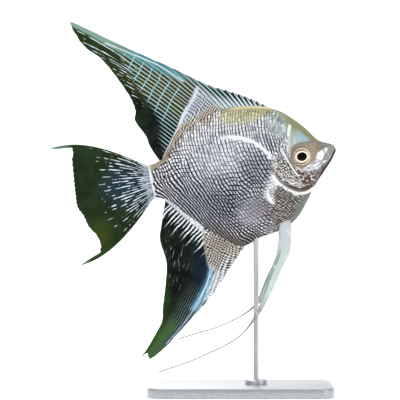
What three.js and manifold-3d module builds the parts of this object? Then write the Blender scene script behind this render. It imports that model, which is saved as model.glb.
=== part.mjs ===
// A still, life-size model of a freshwater angelfish on a plain display stand.
// Millimetres, +Z up. The fish faces +X and the origin is the centre of the stand's underside.
//
// The fish is modelled in a frame of its own: x forward, y to its left, z towards its back,
// with the origin half-way along its length. The whole animal is then pitched nose up.

import * as THREE from 'three';
import { mergeVertices } from 'three/addons/utils/BufferGeometryUtils.js';
import Module from 'manifold-3d';

const wasm = await Module();
wasm.setup();

// ---------------------------------------------------------------- driving dimensions

const GAP = 0.3;                                  // clearance between neighbouring solids
const PITCH = THREE.MathUtils.degToRad(10);       // the fish swims nose up
const FISH_AT = new THREE.Vector3(1.375, 0, 113.875);

// The body, snout to tail stalk. Each section line runs from the belly's outline to the
// back's outline: [back x, back z, belly x, belly z, half-width].
const SECTIONS = [
  [47.4, 0.3, 47.1, -0.7, 1.2],
  [46.6, 2.5, 45.9, -2.2, 2.5],
  [44.0, 4.1, 43.6, -5.2, 3.6],
  [39.3, 6.5, 38.8, -10.3, 4.8],
  [34.4, 13.0, 33.6, -16.3, 5.9],
  [29.3, 18.6, 28.7, -22.9, 6.7],
  [22.6, 24.3, 22.2, -30.3, 7.25],
  [13.5, 28.2, 13.6, -34.8, 7.4],
  [3.5, 29.7, 2.8, -36.6, 7.1],
  [-7.5, 29.9, -7.6, -39.4, 6.4],
  [-18.7, 25.8, -18.7, -31.8, 5.4],
  [-29.4, 19.5, -29.6, -21.6, 4.3],
  [-37.9, 11.6, -38.1, -12.0, 3.2],
  [-43.5, 9.0, -43.1, -8.6, 2.5],
  [-47.4, 8.9, -46.6, -8.1, 2.1],
];
const FLANK_FULLNESS = 1.1;                       // 1 is an ellipse, more is a leaner flank
const BODY_RINGS = 35;
const BODY_SIDES = 22;

// The hind edge of the head, from above the nape down the gill opening to the throat.
const GILL_OPENING = [
  [27.5, 32.0], [25.2, 21.5], [21.5, 13.0], [17.8, 5.0], [14.8, -1.0], [13.4, -7.9],
  [15.8, -11.9], [19.8, -15.1], [25.3, -18.0], [30.0, -18.2], [33.4, -16.8], [40.0, -13.0],
];
// The front edge of a gill cover, from its upper corner to the throat.
const GILL_COVER_FRONT = [
  [18.9, 7.5], [20.9, 6.9], [21.0, 3.0], [22.3, -2.4], [24.4, -7.6], [26.9, -12.0], [28.9, -15.2],
  [29.6, -20.0],
];
const GILL_COVER_REAR = [[29.6, -24.0], [8.0, -24.0], [8.0, 4.0], [16.6, 7.4]];
const GILL_COVER_PROUD = 0.3;
const GILL_COVER_DEPTH = 1.2;

// The mouth slit, from in front of the lips back along the lower jaw to the chin.
const MOUTH_SLIT = [
  [49.5, 0.9], [46.4, -0.3], [42.8, -2.7], [39.5, -5.6], [36.7, -8.8], [34.9, -12.1], [33.6, -16.0],
];
const CHIN_CORNERS = [[36.0, -22.0], [56.0, -6.0]];

const TAIL_CUT_X = -41.2;

const EYE = { x: 29.6, z: -0.5, radius: 4.4, depth: 2.7, bulge: 1.0 };
const EYE_SEGMENTS = 16;

// Fins are fans of rays. A key ray is [root x, root z, tip x, tip z, rise of its middle].
const FIN_ROOT_DEPTH = 1.8;
const BEND_SKEW = 1.3;                            // 1 bends a ray most at its middle
const DORSAL_RAYS = [
  [18.4, 26.4, 16.6, 28.0, 0.0],
  [12.7, 27.9, 6.3, 35.1, 0.2],
  [6.8, 29.1, -10.6, 43.5, 0.3],
  [0.3, 30.0, -24.9, 53.9, 0.8],
  [-5.3, 29.9, -47.4, 68.9, 1.9],
  [-9.0, 29.4, -66.4, 82.4, 2.6],
  [-10.9, 28.9, -72.5, 86.0, 2.8],
  [-12.4, 28.4, -71.3, 80.3, 2.9],
  [-14.8, 27.6, -67.3, 72.2, 2.9],
  [-17.4, 26.5, -60.8, 65.6, 2.8],
  [-20.8, 24.9, -55.4, 56.6, 2.4],
  [-24.6, 22.8, -49.7, 44.3, 2.0],
  [-28.6, 20.1, -48.0, 36.6, 1.6],
  [-32.0, 17.4, -49.0, 31.6, 1.1],
  [-35.4, 14.3, -45.0, 23.2, 0.6],
  [-37.9, 12.0, -44.2, 18.8, 0.2],
  [-39.6, 10.2, -42.4, 13.9, 0.0],
];
const ANAL_RAYS = [
  [-5.2, -37.6, -5.9, -39.9, 0.0],
  [-8.5, -37.1, -15.4, -49.6, -0.2],
  [-11.0, -36.4, -26.5, -61.4, -0.6],
  [-13.5, -35.3, -38.8, -70.8, -1.4],
  [-16.0, -33.9, -52.4, -81.3, -2.4],
  [-18.5, -32.0, -62.0, -86.7, -3.5],
  [-20.5, -30.4, -63.4, -83.7, -4.4],
  [-22.5, -28.8, -66.7, -85.1, -5.2],
  [-25.0, -26.4, -63.1, -81.6, -5.3],
  [-27.5, -23.9, -58.0, -75.6, -4.8],
  [-30.0, -21.2, -53.3, -69.4, -4.2],
  [-32.0, -19.0, -51.6, -62.4, -2.9],
  [-33.8, -17.0, -48.0, -50.4, -1.9],
  [-35.5, -15.0, -46.0, -40.6, -1.2],
  [-37.2, -13.0, -47.2, -29.2, -0.7],
  [-38.8, -11.5, -45.3, -22.2, -0.3],
  [-40.5, -10.2, -42.6, -14.4, 0.0],
];
const TAIL_RAYS = [
  [-46.8, 7.4, -93.9, 25.4, 5.4],
  [-46.8, 6.0, -83.2, 22.6, 3.2],
  [-46.8, 4.9, -83.8, 17.8, 2.6],
  [-46.8, 3.6, -84.6, 7.8, 1.2],
  [-46.8, 1.2, -85.1, 0.6, 0.2],
  [-46.8, -1.4, -85.1, -5.8, -0.6],
  [-46.8, -3.4, -82.9, -10.4, -1.4],
  [-46.8, -4.8, -81.1, -16.4, -2.4],
  [-46.8, -5.3, -77.6, -22.2, -2.6],
  [-46.8, -6.2, -77.7, -28.8, -3.0],
  [-46.8, -7.2, -88.9, -34.7, -5.4],
];

// A pectoral fin is a clear fan held back along the flank behind its gill cover.
const PECTORAL = {
  rootX: 11.6,
  rootZ: -16.6,
  rootHalfHeight: 2.4,
  length: 19.0,
  spread: THREE.MathUtils.degToRad(34),
  droop: THREE.MathUtils.degToRad(12),
  stand: THREE.MathUtils.degToRad(15),
  edgeShortening: 0.28,
  rootSunk: 1.0,
  rootBow: 1.4,
  rootThickness: 1.0,
  edgeThickness: 0.54,
  rays: 10,
  steps: 4,
};

// A pelvic fin is a ribbon along a path in the side view, drawn out into a long feeler.
// Each station is [x, z, half-width].
const PELVIC_RIGHT_PATH = [
  [16.0, -31.1, 2.8],
  [14.6, -37.9, 3.0],
  [13.7, -42.8, 3.1],
  [11.6, -47.5, 2.7],
  [8.6, -52.0, 2.3],
  [4.5, -58.3, 2.2],
  [0.4, -65.2, 1.7],
  [-5.0, -72.7, 1.0],
  [-11.8, -79.5, 0.42],
  [-19.3, -84.2, 0.33],
  [-31.2, -87.9, 0.3],
  [-44.3, -91.0, 0.28],
  [-59.2, -93.2, 0.27],
];
const PELVIC_LEFT_PATH = [
  [15.6, -31.1, 2.5],
  [14.2, -39.0, 2.7],
  [13.0, -43.4, 2.7],
  [11.0, -48.1, 2.4],
  [7.6, -53.1, 2.2],
  [3.3, -58.8, 2.0],
  [-0.7, -64.5, 1.5],
  [-4.6, -69.0, 0.9],
  [-10.3, -72.6, 0.42],
  [-19.2, -75.8, 0.32],
  [-27.8, -77.8, 0.3],
  [-37.2, -78.9, 0.28],
  [-46.6, -80.2, 0.27],
];
const PELVIC = {
  rootY: 2.6,
  tipY: 11.0,
  splay: 1.4,
  halfThickness: 0.75,
  tipHalfThickness: 0.27,
  thinning: 1.3,
  stations: 30,
  sides: 6,
};

// The stand: a flat plate and one rod that ends in a blind socket in the belly.
const BASE = { length: 92, width: 52, height: 5, corner: 8, bevel: 0.6, curveSegments: 4 };
const ROD = { x: 8, radius: 1.3, top: 82, foot: 5.5, footHeight: 2.4, segments: 16, chamfer: 0.4 };

// ---------------------------------------------------------------- helpers

const group = new THREE.Group();
const fish = new THREE.Group();
fish.rotation.y = -PITCH;
fish.position.copy(FISH_AT);
fish.updateMatrix();
group.add(fish);

function material(color, roughness, metalness = 0) {
  return new THREE.MeshStandardMaterial({ color, roughness, metalness });
}

// A smooth line through rows of numbers, read at t from 0 to 1.
function rowSpline(rows) {
  const last = rows.length - 1;
  return (t) => {
    const place = THREE.MathUtils.clamp(t, 0, 1) * last;
    const i = Math.min(Math.floor(place), last - 1);
    const f = place - i;
    const before = rows[Math.max(i - 1, 0)];
    const after = rows[Math.min(i + 2, last)];
    return rows[i].map((value, column) => {
      const next = rows[i + 1][column];
      const slopeIn = (next - before[column]) / 2;
      const slopeOut = (after[column] - value) / 2;
      const f2 = f * f;
      const f3 = f2 * f;
      return value * (2 * f3 - 3 * f2 + 1) + next * (3 * f2 - 2 * f3)
        + slopeIn * (f3 - 2 * f2 + f) + slopeOut * (f3 - f2);
    });
  };
}

function closedGeometry(positions, triangles) {
  const geometry = new THREE.BufferGeometry();
  geometry.setAttribute('position', new THREE.Float32BufferAttribute(positions.flat(), 3));
  geometry.setIndex(triangles.flat());
  return geometry;
}

// A closed loft through rings of equally many points, with a fan at each end.
function loft(rings) {
  const sides = rings[0].length;
  const positions = rings.flat();
  const triangles = [];
  for (let r = 0; r < rings.length - 1; r += 1) {
    for (let s = 0; s < sides; s += 1) {
      const a = r * sides + s;
      const b = r * sides + ((s + 1) % sides);
      triangles.push([a, b, b + sides], [a, b + sides, a + sides]);
    }
  }
  [0, rings.length - 1].forEach((r) => {
    const centre = [0, 1, 2].map((axis) => rings[r].reduce((sum, p) => sum + p[axis], 0) / sides);
    const hub = positions.push(centre) - 1;
    for (let s = 0; s < sides; s += 1) {
      const a = r * sides + s;
      const b = r * sides + ((s + 1) % sides);
      triangles.push(r === 0 ? [hub, b, a] : [hub, a, b]);
    }
  });
  return closedGeometry(positions, triangles);
}

// A closed surface as a solid, with its faces turned outwards if they point in.
function toSolid(geometry) {
  const bare = geometry.clone();
  bare.deleteAttribute('normal');
  bare.deleteAttribute('uv');
  const merged = mergeVertices(bare);
  const vertProperties = new Float32Array(merged.attributes.position.array);
  const triVerts = new Uint32Array(merged.index.array);
  const solid = new wasm.Manifold(new wasm.Mesh({ numProp: 3, vertProperties, triVerts }));
  if (solid.volume() > 0) {
    return solid;
  }
  return new wasm.Manifold(new wasm.Mesh({
    numProp: 3,
    vertProperties,
    triVerts: triVerts.reverse(),
  }));
}

// The largest piece of a solid: a cut may leave crumbs where two faces all but touch.
function mainPiece(solid) {
  const pieces = solid.decompose();
  return pieces.reduce((best, piece) => (piece.volume() > best.volume() ? piece : best));
}

function addMesh(parent, name, solid, meshMaterial) {
  const cut = mainPiece(solid).getMesh();
  const geometry = new THREE.BufferGeometry();
  geometry.setAttribute('position', new THREE.Float32BufferAttribute(cut.vertProperties, 3));
  geometry.setIndex(new THREE.Uint32BufferAttribute(cut.triVerts, 1));
  const mesh = new THREE.Mesh(geometry, meshMaterial);
  mesh.name = name;
  parent.add(mesh);
}

// A straight block right across the body over an outline in the side view.
const BLOCK_REACH = 30;
function block(outline, from = -BLOCK_REACH, to = BLOCK_REACH) {
  const shape = new THREE.Shape(outline.map(([x, z]) => new THREE.Vector2(x, z)));
  const geometry = new THREE.ExtrudeGeometry(shape, { depth: to - from, bevelEnabled: false });
  geometry.rotateX(Math.PI / 2);
  geometry.translate(0, to, 0);
  return toSolid(geometry);
}

// ---------------------------------------------------------------- body

const sectionAt = rowSpline(SECTIONS);

function bodyHalfWidth(t, height) {
  const lean = Math.sqrt(Math.max(1 - height * height, 0));
  return sectionAt(t)[4] * lean ** FLANK_FULLNESS;
}

// The body's surface moved out by grow, or in where grow is negative.
function bodyGeometry(grow) {
  const rings = [];
  for (let r = 0; r <= BODY_RINGS; r += 1) {
    const t = r / BODY_RINGS;
    const [backX, backZ, bellyX, bellyZ, halfWidth] = sectionAt(t);
    const halfHeight = Math.hypot(backX - bellyX, backZ - bellyZ) / 2;
    const along = [(backX - bellyX) / 2 / halfHeight, (backZ - bellyZ) / 2 / halfHeight];
    const endShift = (r === 0 ? grow : 0) - (r === BODY_RINGS ? grow : 0);
    const ring = [];
    for (let s = 0; s < BODY_SIDES; s += 1) {
      const angle = (s / BODY_SIDES) * 2 * Math.PI;
      const lean = Math.abs(Math.cos(angle)) ** FLANK_FULLNESS;
      const across = Math.max(halfWidth + grow, GAP) * lean * Math.sign(Math.cos(angle));
      const up = Math.max(halfHeight + grow, GAP) * Math.sin(angle);
      ring.push([
        (backX + bellyX) / 2 + along[0] * up + endShift,
        across,
        (backZ + bellyZ) / 2 + along[1] * up,
      ]);
    }
    rings.push(ring);
  }
  return loft(rings);
}

const body = toSolid(bodyGeometry(0));
const bodyWithGap = toSolid(bodyGeometry(GAP));
const proudBody = toSolid(bodyGeometry(GILL_COVER_PROUD));
const proudBodyWithGap = toSolid(bodyGeometry(GILL_COVER_PROUD + GAP));
const innerBody = toSolid(bodyGeometry(-GILL_COVER_DEPTH));
const innerBodyWithGap = toSolid(bodyGeometry(-GILL_COVER_DEPTH - GAP));

const FRONT = 70;
const TOP = 60;
const gillOpeningAt = rowSpline(GILL_OPENING);
const GILL_STEPS = 26;
function headOutline(shift) {
  const edge = [];
  for (let i = 0; i <= GILL_STEPS; i += 1) {
    const [x, z] = gillOpeningAt(i / GILL_STEPS);
    edge.push([x - shift, z - shift]);
  }
  return [[FRONT, TOP], [edge[0][0], TOP], ...edge, [FRONT, edge[GILL_STEPS][1]]];
}

const headBlock = block(headOutline(0));
const headBlockWithGap = block(headOutline(GAP * Math.SQRT2));

const gillFrontAt = rowSpline(GILL_COVER_FRONT);
const GILL_FRONT_STEPS = 12;
function gillCoverOutline(shift) {
  const edge = [];
  for (let i = 0; i <= GILL_FRONT_STEPS; i += 1) {
    const [x, z] = gillFrontAt(i / GILL_FRONT_STEPS);
    edge.push([x + shift, z + shift]);
  }
  return [...edge, ...GILL_COVER_REAR];
}

function jawOutline(shift) {
  const slitAt = rowSpline(MOUTH_SLIT);
  const edge = [];
  const steps = MOUTH_SLIT.length + 3;
  for (let i = 0; i <= steps; i += 1) {
    const [x, z] = slitAt(i / steps);
    edge.push([x - shift, z + shift]);
  }
  return [...edge, ...CHIN_CORNERS];
}

function eyeSolid(side, grow) {
  const geometry = new THREE.SphereGeometry(1, EYE_SEGMENTS, EYE_SEGMENTS / 2);
  geometry.scale(EYE.radius + grow, EYE.depth + grow, EYE.radius + grow);
  geometry.translate(EYE.x, side * (eyeFlank - EYE.depth + EYE.bulge), EYE.z);
  return toSolid(geometry);
}

// The section line that passes through a point of the side view, by trying many of them.
const SECTION_TRIES = 400;
function sectionThrough(x, z) {
  let best = { error: Infinity };
  for (let i = 0; i <= SECTION_TRIES; i += 1) {
    const t = i / SECTION_TRIES;
    const [backX, backZ, bellyX, bellyZ] = sectionAt(t);
    const height = (2 * z - backZ - bellyZ) / (backZ - bellyZ);
    const lineX = (backX + bellyX) / 2 + (height * (backX - bellyX)) / 2;
    const error = Math.abs(lineX - x);
    if (error < best.error) {
      best = { error, t, height };
    }
  }
  return best;
}
const eyeSection = sectionThrough(EYE.x, EYE.z);
const eyeFlank = bodyHalfWidth(eyeSection.t, eyeSection.height);

const skinSilver = material('#b9bccb', 0.4, 0.2);
const skinOlive = material('#8f9066', 0.5, 0.1);
const SIDES = [['right', -1], ['left', 1]];

let head = body.intersect(headBlock);
SIDES.forEach(([name, side]) => {
  const [from, to] = side < 0 ? [-BLOCK_REACH, 0] : [0, BLOCK_REACH];
  const cover = proudBody.intersect(headBlock).intersect(block(gillCoverOutline(0), from, to));
  addMesh(fish, `gill_cover_${name}`, cover.subtract(innerBody), skinSilver);
  const recess = block(gillCoverOutline(GAP), from, to).subtract(innerBodyWithGap);
  head = head.subtract(recess).subtract(eyeSolid(side, GAP));
  addMesh(fish, `eye_${name}`, eyeSolid(side, 0), material('#1a1712', 0.1));
});
const lowerJaw = head.intersect(block(jawOutline(0)));
addMesh(fish, 'head', head.subtract(block(jawOutline(GAP))), skinOlive);
addMesh(fish, 'lower_jaw', lowerJaw, material('#5b4038', 0.5));

// The rod's socket is upright in the room, so it is turned back into the fish's frame.
const socketGeometry = new THREE.CylinderGeometry(
  ROD.radius + GAP, ROD.radius + GAP, TOP, ROD.segments);
socketGeometry.rotateX(Math.PI / 2);
socketGeometry.translate(ROD.x, 0, ROD.top + GAP - TOP / 2);
socketGeometry.applyMatrix4(fish.matrix.clone().invert());
const socket = toSolid(socketGeometry);

const tailSide = block([[-FRONT, -TOP], [TAIL_CUT_X, -TOP], [TAIL_CUT_X, TOP], [-FRONT, TOP]]);
const tailSideWithGap = block([
  [-FRONT, -TOP], [TAIL_CUT_X + GAP, -TOP], [TAIL_CUT_X + GAP, TOP], [-FRONT, TOP]]);
const trunk = body.subtract(headBlockWithGap).subtract(tailSideWithGap).subtract(socket);
addMesh(fish, 'trunk', trunk, skinSilver);
addMesh(fish, 'tail_stalk', body.intersect(tailSide), material('#8d8a80', 0.5, 0.1));

// ---------------------------------------------------------------- fins

// A thin closed sheet over a grid of rays and steps. pointAt(s, k) gives the middle of the
// sheet, s across the rays and k from root to tip; halfThicknessAt gives half its thickness.
function sheet(rays, steps, pointAt, halfThicknessAt) {
  const positions = [];
  [-1, 1].forEach((face) => {
    for (let i = 0; i <= rays; i += 1) {
      for (let j = 0; j <= steps; j += 1) {
        const [x, y, z] = pointAt(i / rays, j / steps);
        positions.push([x, y + face * halfThicknessAt(i / rays, j / steps), z]);
      }
    }
  });
  const row = steps + 1;
  const backFace = (rays + 1) * row;
  const triangles = [];
  const quad = (a, b, c, d) => triangles.push([a, b, c], [a, c, d]);
  for (let i = 0; i < rays; i += 1) {
    for (let j = 0; j < steps; j += 1) {
      const a = i * row + j;
      quad(a, a + row, a + row + 1, a + 1);
      quad(backFace + a, backFace + a + 1, backFace + a + row + 1, backFace + a + row);
    }
    const root = i * row;
    const tip = root + steps;
    quad(root, backFace + root, backFace + root + row, root + row);
    quad(tip, tip + row, backFace + tip + row, backFace + tip);
  }
  for (let j = 0; j < steps; j += 1) {
    const last = rays * row + j;
    quad(j, j + 1, backFace + j + 1, backFace + j);
    quad(last, backFace + last, backFace + last + 1, last + 1);
  }
  return closedGeometry(positions, triangles);
}

const BEND_PEAK_AT = BEND_SKEW / (1 + BEND_SKEW);
const BEND_PEAK = BEND_PEAK_AT ** BEND_SKEW * (1 - BEND_PEAK_AT);

// A median fin in the fish's middle plane, swaying a little towards its free edge.
function medianFin(name, fin, meshMaterial) {
  const rayAt = rowSpline(fin.keys);
  const pointAt = (s, k) => {
    const [rootX, rootZ, tipX, tipZ, rise] = rayAt(s);
    const startX = rootX + fin.sink[0];
    const startZ = rootZ + fin.sink[1];
    const bend = (rise * k ** BEND_SKEW * (1 - k)) / BEND_PEAK;
    const sway = fin.sway * k * k * Math.sin(fin.waves * Math.PI * s + fin.phase);
    return [startX + (tipX - startX) * k, sway, startZ + (tipZ - startZ) * k + bend];
  };
  const halfThicknessAt = (s, k) => THREE.MathUtils.lerp(fin.rootThickness, fin.edgeThickness,
    Math.sqrt(k)) / 2;
  const rays = 2 * (fin.keys.length - 1);
  const geometry = sheet(rays, fin.steps, pointAt, halfThicknessAt);
  addMesh(fish, name, toSolid(geometry).subtract(bodyWithGap), meshMaterial);
}

medianFin('dorsal_fin', {
  keys: DORSAL_RAYS,
  sink: [0, -FIN_ROOT_DEPTH],
  steps: 5,
  rootThickness: 2.4,
  edgeThickness: 0.55,
  sway: 2.2,
  waves: 1.6,
  phase: 0.4,
}, material('#3e5a52', 0.6));

medianFin('anal_fin', {
  keys: ANAL_RAYS,
  sink: [0, FIN_ROOT_DEPTH],
  steps: 6,
  rootThickness: 2.4,
  edgeThickness: 0.55,
  sway: 2.2,
  waves: 1.8,
  phase: 2.9,
}, material('#2f5560', 0.6));

medianFin('tail_fin', {
  keys: TAIL_RAYS,
  sink: [FIN_ROOT_DEPTH, 0],
  steps: 6,
  rootThickness: 2.6,
  edgeThickness: 0.55,
  sway: 3.0,
  waves: 1.3,
  phase: 0.3,
}, material('#2c3b34', 0.6));

const pectoralSection = sectionThrough(PECTORAL.rootX, PECTORAL.rootZ);
const pectoralFlank = bodyHalfWidth(pectoralSection.t, pectoralSection.height);

SIDES.forEach(([name, side]) => {
  const pointAt = (s, k) => {
    const turn = (s - 0.5) * 2;
    const angle = Math.PI + PECTORAL.droop + turn * PECTORAL.spread;
    const reach = PECTORAL.length * (1 - PECTORAL.edgeShortening * turn * turn) * k;
    const x = PECTORAL.rootX + Math.cos(angle) * reach;
    const z = PECTORAL.rootZ - turn * PECTORAL.rootHalfHeight + Math.sin(angle) * reach;
    const bow = PECTORAL.rootBow * Math.sqrt(k);
    const out = pectoralFlank - PECTORAL.rootSunk + Math.sin(PECTORAL.stand) * reach + bow;
    return [x, side * out, z];
  };
  const halfThicknessAt = (s, k) => THREE.MathUtils.lerp(
    PECTORAL.rootThickness, PECTORAL.edgeThickness, k) / 2;
  const fan = toSolid(sheet(PECTORAL.rays, PECTORAL.steps, pointAt, halfThicknessAt));
  addMesh(fish, `pectoral_fin_${name}`, fan.subtract(proudBodyWithGap), material('#dfe6ea', 0.3));
});

// A pelvic fin: an oval swept along its path, wide in the side view and thin across it.
function pelvicFin(name, side, path) {
  const stationAt = rowSpline(path);
  const centreAt = (t) => {
    const [x, z] = stationAt(t);
    const out = THREE.MathUtils.lerp(PELVIC.rootY, PELVIC.tipY, t ** PELVIC.splay);
    return new THREE.Vector3(x, side * out, z);
  };
  const rings = [];
  const nudge = 0.5 / PELVIC.stations;
  for (let i = 0; i <= PELVIC.stations; i += 1) {
    const t = i / PELVIC.stations;
    const ahead = centreAt(Math.min(t + nudge, 1));
    const tangent = ahead.sub(centreAt(Math.max(t - nudge, 0))).normalize();
    const across = new THREE.Vector3(0, 1, 0);
    const wide = new THREE.Vector3().crossVectors(across, tangent).normalize();
    const thin = new THREE.Vector3().crossVectors(tangent, wide);
    const halfWidth = stationAt(t)[2];
    const thinned = Math.min(t * PELVIC.thinning, 1);
    const halfThickness = THREE.MathUtils.lerp(
      PELVIC.halfThickness, PELVIC.tipHalfThickness, thinned);
    const centre = centreAt(t);
    const ring = [];
    for (let s = 0; s < PELVIC.sides; s += 1) {
      const angle = (s / PELVIC.sides) * 2 * Math.PI;
      const point = centre.clone()
        .addScaledVector(wide, Math.cos(angle) * halfWidth)
        .addScaledVector(thin, Math.sin(angle) * Math.min(halfWidth, halfThickness));
      ring.push(point.toArray());
    }
    rings.push(ring);
  }
  const ribbon = toSolid(loft(rings)).subtract(bodyWithGap);
  addMesh(fish, `pelvic_fin_${name}`, ribbon, material('#c9d8dc', 0.5));
}

pelvicFin('right', -1, PELVIC_RIGHT_PATH);
pelvicFin('left', 1, PELVIC_LEFT_PATH);

// ---------------------------------------------------------------- stand

const plate = new THREE.Shape();
const halfLength = BASE.length / 2 - BASE.bevel;
const halfBreadth = BASE.width / 2 - BASE.bevel;
const inset = BASE.corner;
plate.moveTo(inset - halfLength, -halfBreadth);
plate.lineTo(halfLength - inset, -halfBreadth);
plate.absarc(halfLength - inset, inset - halfBreadth, inset, -Math.PI / 2, 0);
plate.lineTo(halfLength, halfBreadth - inset);
plate.absarc(halfLength - inset, halfBreadth - inset, inset, 0, Math.PI / 2);
plate.lineTo(inset - halfLength, halfBreadth);
plate.absarc(inset - halfLength, halfBreadth - inset, inset, Math.PI / 2, Math.PI);
plate.lineTo(-halfLength, inset - halfBreadth);
plate.absarc(inset - halfLength, inset - halfBreadth, inset, Math.PI, 1.5 * Math.PI);
const baseGeometry = new THREE.ExtrudeGeometry(plate, {
  depth: BASE.height - 2 * BASE.bevel,
  bevelThickness: BASE.bevel,
  bevelSize: BASE.bevel,
  bevelSegments: 1,
  curveSegments: BASE.curveSegments,
});
baseGeometry.translate(0, 0, BASE.bevel);
addMesh(group, 'stand_base', toSolid(baseGeometry), material('#d9dadb', 0.4, 0.3));

const rodProfile = [
  [0, BASE.height],
  [ROD.foot, BASE.height],
  [ROD.foot, BASE.height + ROD.chamfer],
  [ROD.radius + ROD.chamfer, BASE.height + ROD.footHeight],
  [ROD.radius, BASE.height + ROD.footHeight + ROD.chamfer],
  [ROD.radius, ROD.top - ROD.chamfer],
  [ROD.radius - ROD.chamfer, ROD.top],
  [0, ROD.top],
].map(([radius, z]) => new THREE.Vector2(radius, z));
const rodGeometry = new THREE.LatheGeometry(rodProfile, ROD.segments);
rodGeometry.rotateX(Math.PI / 2);
rodGeometry.translate(ROD.x, 0, 0);
addMesh(group, 'stand_rod', toSolid(rodGeometry), material('#c4c6c8', 0.3, 0.9));

export default group;
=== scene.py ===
# %% [markdown]
# # A still, life-size freshwater angelfish
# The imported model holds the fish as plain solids: head, trunk, fins and eyes, on a stand.
# This lesson dresses it. One skin covers the solids of flesh, thin scales lie on the skin, the
# fins get their rays, and every surface gets a finish made of nodes. The first cell loads the
# solids, which stay where they are and tell us how big everything is.

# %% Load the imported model
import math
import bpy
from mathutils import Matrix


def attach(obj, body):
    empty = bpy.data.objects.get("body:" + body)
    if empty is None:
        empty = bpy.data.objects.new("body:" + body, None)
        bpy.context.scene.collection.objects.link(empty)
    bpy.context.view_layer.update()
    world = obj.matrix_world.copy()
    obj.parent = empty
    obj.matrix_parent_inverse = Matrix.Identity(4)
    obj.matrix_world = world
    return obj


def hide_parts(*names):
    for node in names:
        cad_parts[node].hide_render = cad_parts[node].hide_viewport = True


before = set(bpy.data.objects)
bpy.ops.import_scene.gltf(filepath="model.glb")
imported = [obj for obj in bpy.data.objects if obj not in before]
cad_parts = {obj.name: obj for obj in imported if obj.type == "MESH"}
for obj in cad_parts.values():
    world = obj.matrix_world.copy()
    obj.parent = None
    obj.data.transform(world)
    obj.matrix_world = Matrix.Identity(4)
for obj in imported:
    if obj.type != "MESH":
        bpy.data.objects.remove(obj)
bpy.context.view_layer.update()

# %% Gather the tools
from types import SimpleNamespace

import bmesh
import bpy
import numpy as np
from mathutils import Matrix

MM = 0.001

# %% [markdown]
# ## Camera, floor and light
# A fish portrait is taken square from the side, at mid-height, through a long lens, so that
# near and far fins keep the same size. The camera is a metre off the right flank. The floor is
# one sheet that curves up into a backdrop, so that no horizon runs behind the fish.

# %% Set the camera
CAMERA_AT = (-0.020, -1.000, 0.097)
LENS_MM, SENSOR_MM = 180, 36

camera_data = bpy.data.cameras.new("side_camera")
camera_data.lens = LENS_MM
camera_data.sensor_width = SENSOR_MM
camera = bpy.data.objects.new("side_camera", camera_data)
camera.location = CAMERA_AT
camera.rotation_euler = (math.radians(90), 0, 0)
bpy.context.scene.collection.objects.link(camera)
bpy.context.scene.camera = camera
print("view width at the fish in mm:", SENSOR_MM / LENS_MM * -CAMERA_AT[1] / MM)

# %% [markdown]
# A bmesh is a mesh in the making, which operators act on. Most pieces here start from one
# operator, `create_grid`: a flat sheet of squares, from 0 to 1 both ways. A Python function
# then bends the sheet into place, as a maker bends card. Thin pieces are two such sheets, joined
# round the rim. `finish_piece` gives an object its material, makes it ride on the model and
# hides the solids that it stands for. The right side of the fish has a negative y.

# %% Helpers for bent sheets and finished pieces
ROOT = "root"
SIDES = {"right": -1, "left": 1}
FROM_ZERO = Matrix.Translation((0.5, 0.5, 0))


def new_sheet(columns, rows):
    bm = bmesh.new()
    bm.loops.layers.uv.new("Sheet")
    bmesh.ops.create_grid(
        bm, x_segments=columns, y_segments=rows, size=0.5, matrix=FROM_ZERO, calc_uvs=True)
    return bm


def bend(bm, place):
    """Moves all vertices at once: place takes an array of points and gives one back."""
    was = np.array([v.co for v in bm.verts])
    for vertex, point in zip(bm.verts, place(was)):
        vertex.co = point
    return was[:, :2]


def closed_sheet(columns, rows, place):
    """Two sheets joined round the rim. place(u, v, side) gives the points of one of them."""
    bm = bmesh.new()
    for _ in range(2):
        bmesh.ops.create_grid(bm, x_segments=columns, y_segments=rows, size=0.5, matrix=FROM_ZERO)
    count = len(bm.verts) // 2
    sheet = bend(bm, lambda was: np.concatenate(
        [place(*was[:count, :2].T, -1), place(*was[count:, :2].T, 1)]))
    bmesh.ops.reverse_faces(bm, faces=bm.faces[:][columns * rows:])
    bmesh.ops.bridge_loops(bm, edges=[e for e in bm.edges if e.is_boundary])
    bmesh.ops.recalc_face_normals(bm, faces=bm.faces)
    return bm, sheet


def make_object(name, mesh):
    made = bpy.data.objects.new(name, mesh)
    bpy.context.scene.collection.objects.link(made)
    return made


def object_from(name, bm):
    mesh = bpy.data.meshes.new(name)
    bm.to_mesh(mesh)
    bm.free()
    return make_object(name, mesh)


def set_amounts(mesh, table):
    """Gives a mesh named numbers, one for each vertex."""
    for name, values in table.items():
        attribute = mesh.attributes.new(name, "FLOAT", "POINT")
        attribute.data.foreach_set("value", np.asarray(values, np.float32))


def finish_piece(made, material, replaced=(), sharp_degrees=40):
    made.data.materials.append(material)
    made.data.polygons.foreach_set("use_smooth", [True] * len(made.data.polygons))
    made.data.set_sharp_from_angle(angle=math.radians(sharp_degrees))
    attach(made, ROOT)
    if replaced:
        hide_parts(*replaced)
    print(made.name, len(made.data.polygons), "faces")
    return made


# %% [markdown]
# ## Shader arithmetic
# A finish is a tree of nodes. Wiring them by hand is slow to write and hard to read, so a
# small class wraps an output socket and lets Python's own signs build the nodes: `a * b` adds
# a Math node that multiplies. `rise` is a smooth step between two values.

# %% Wrap a socket


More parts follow.
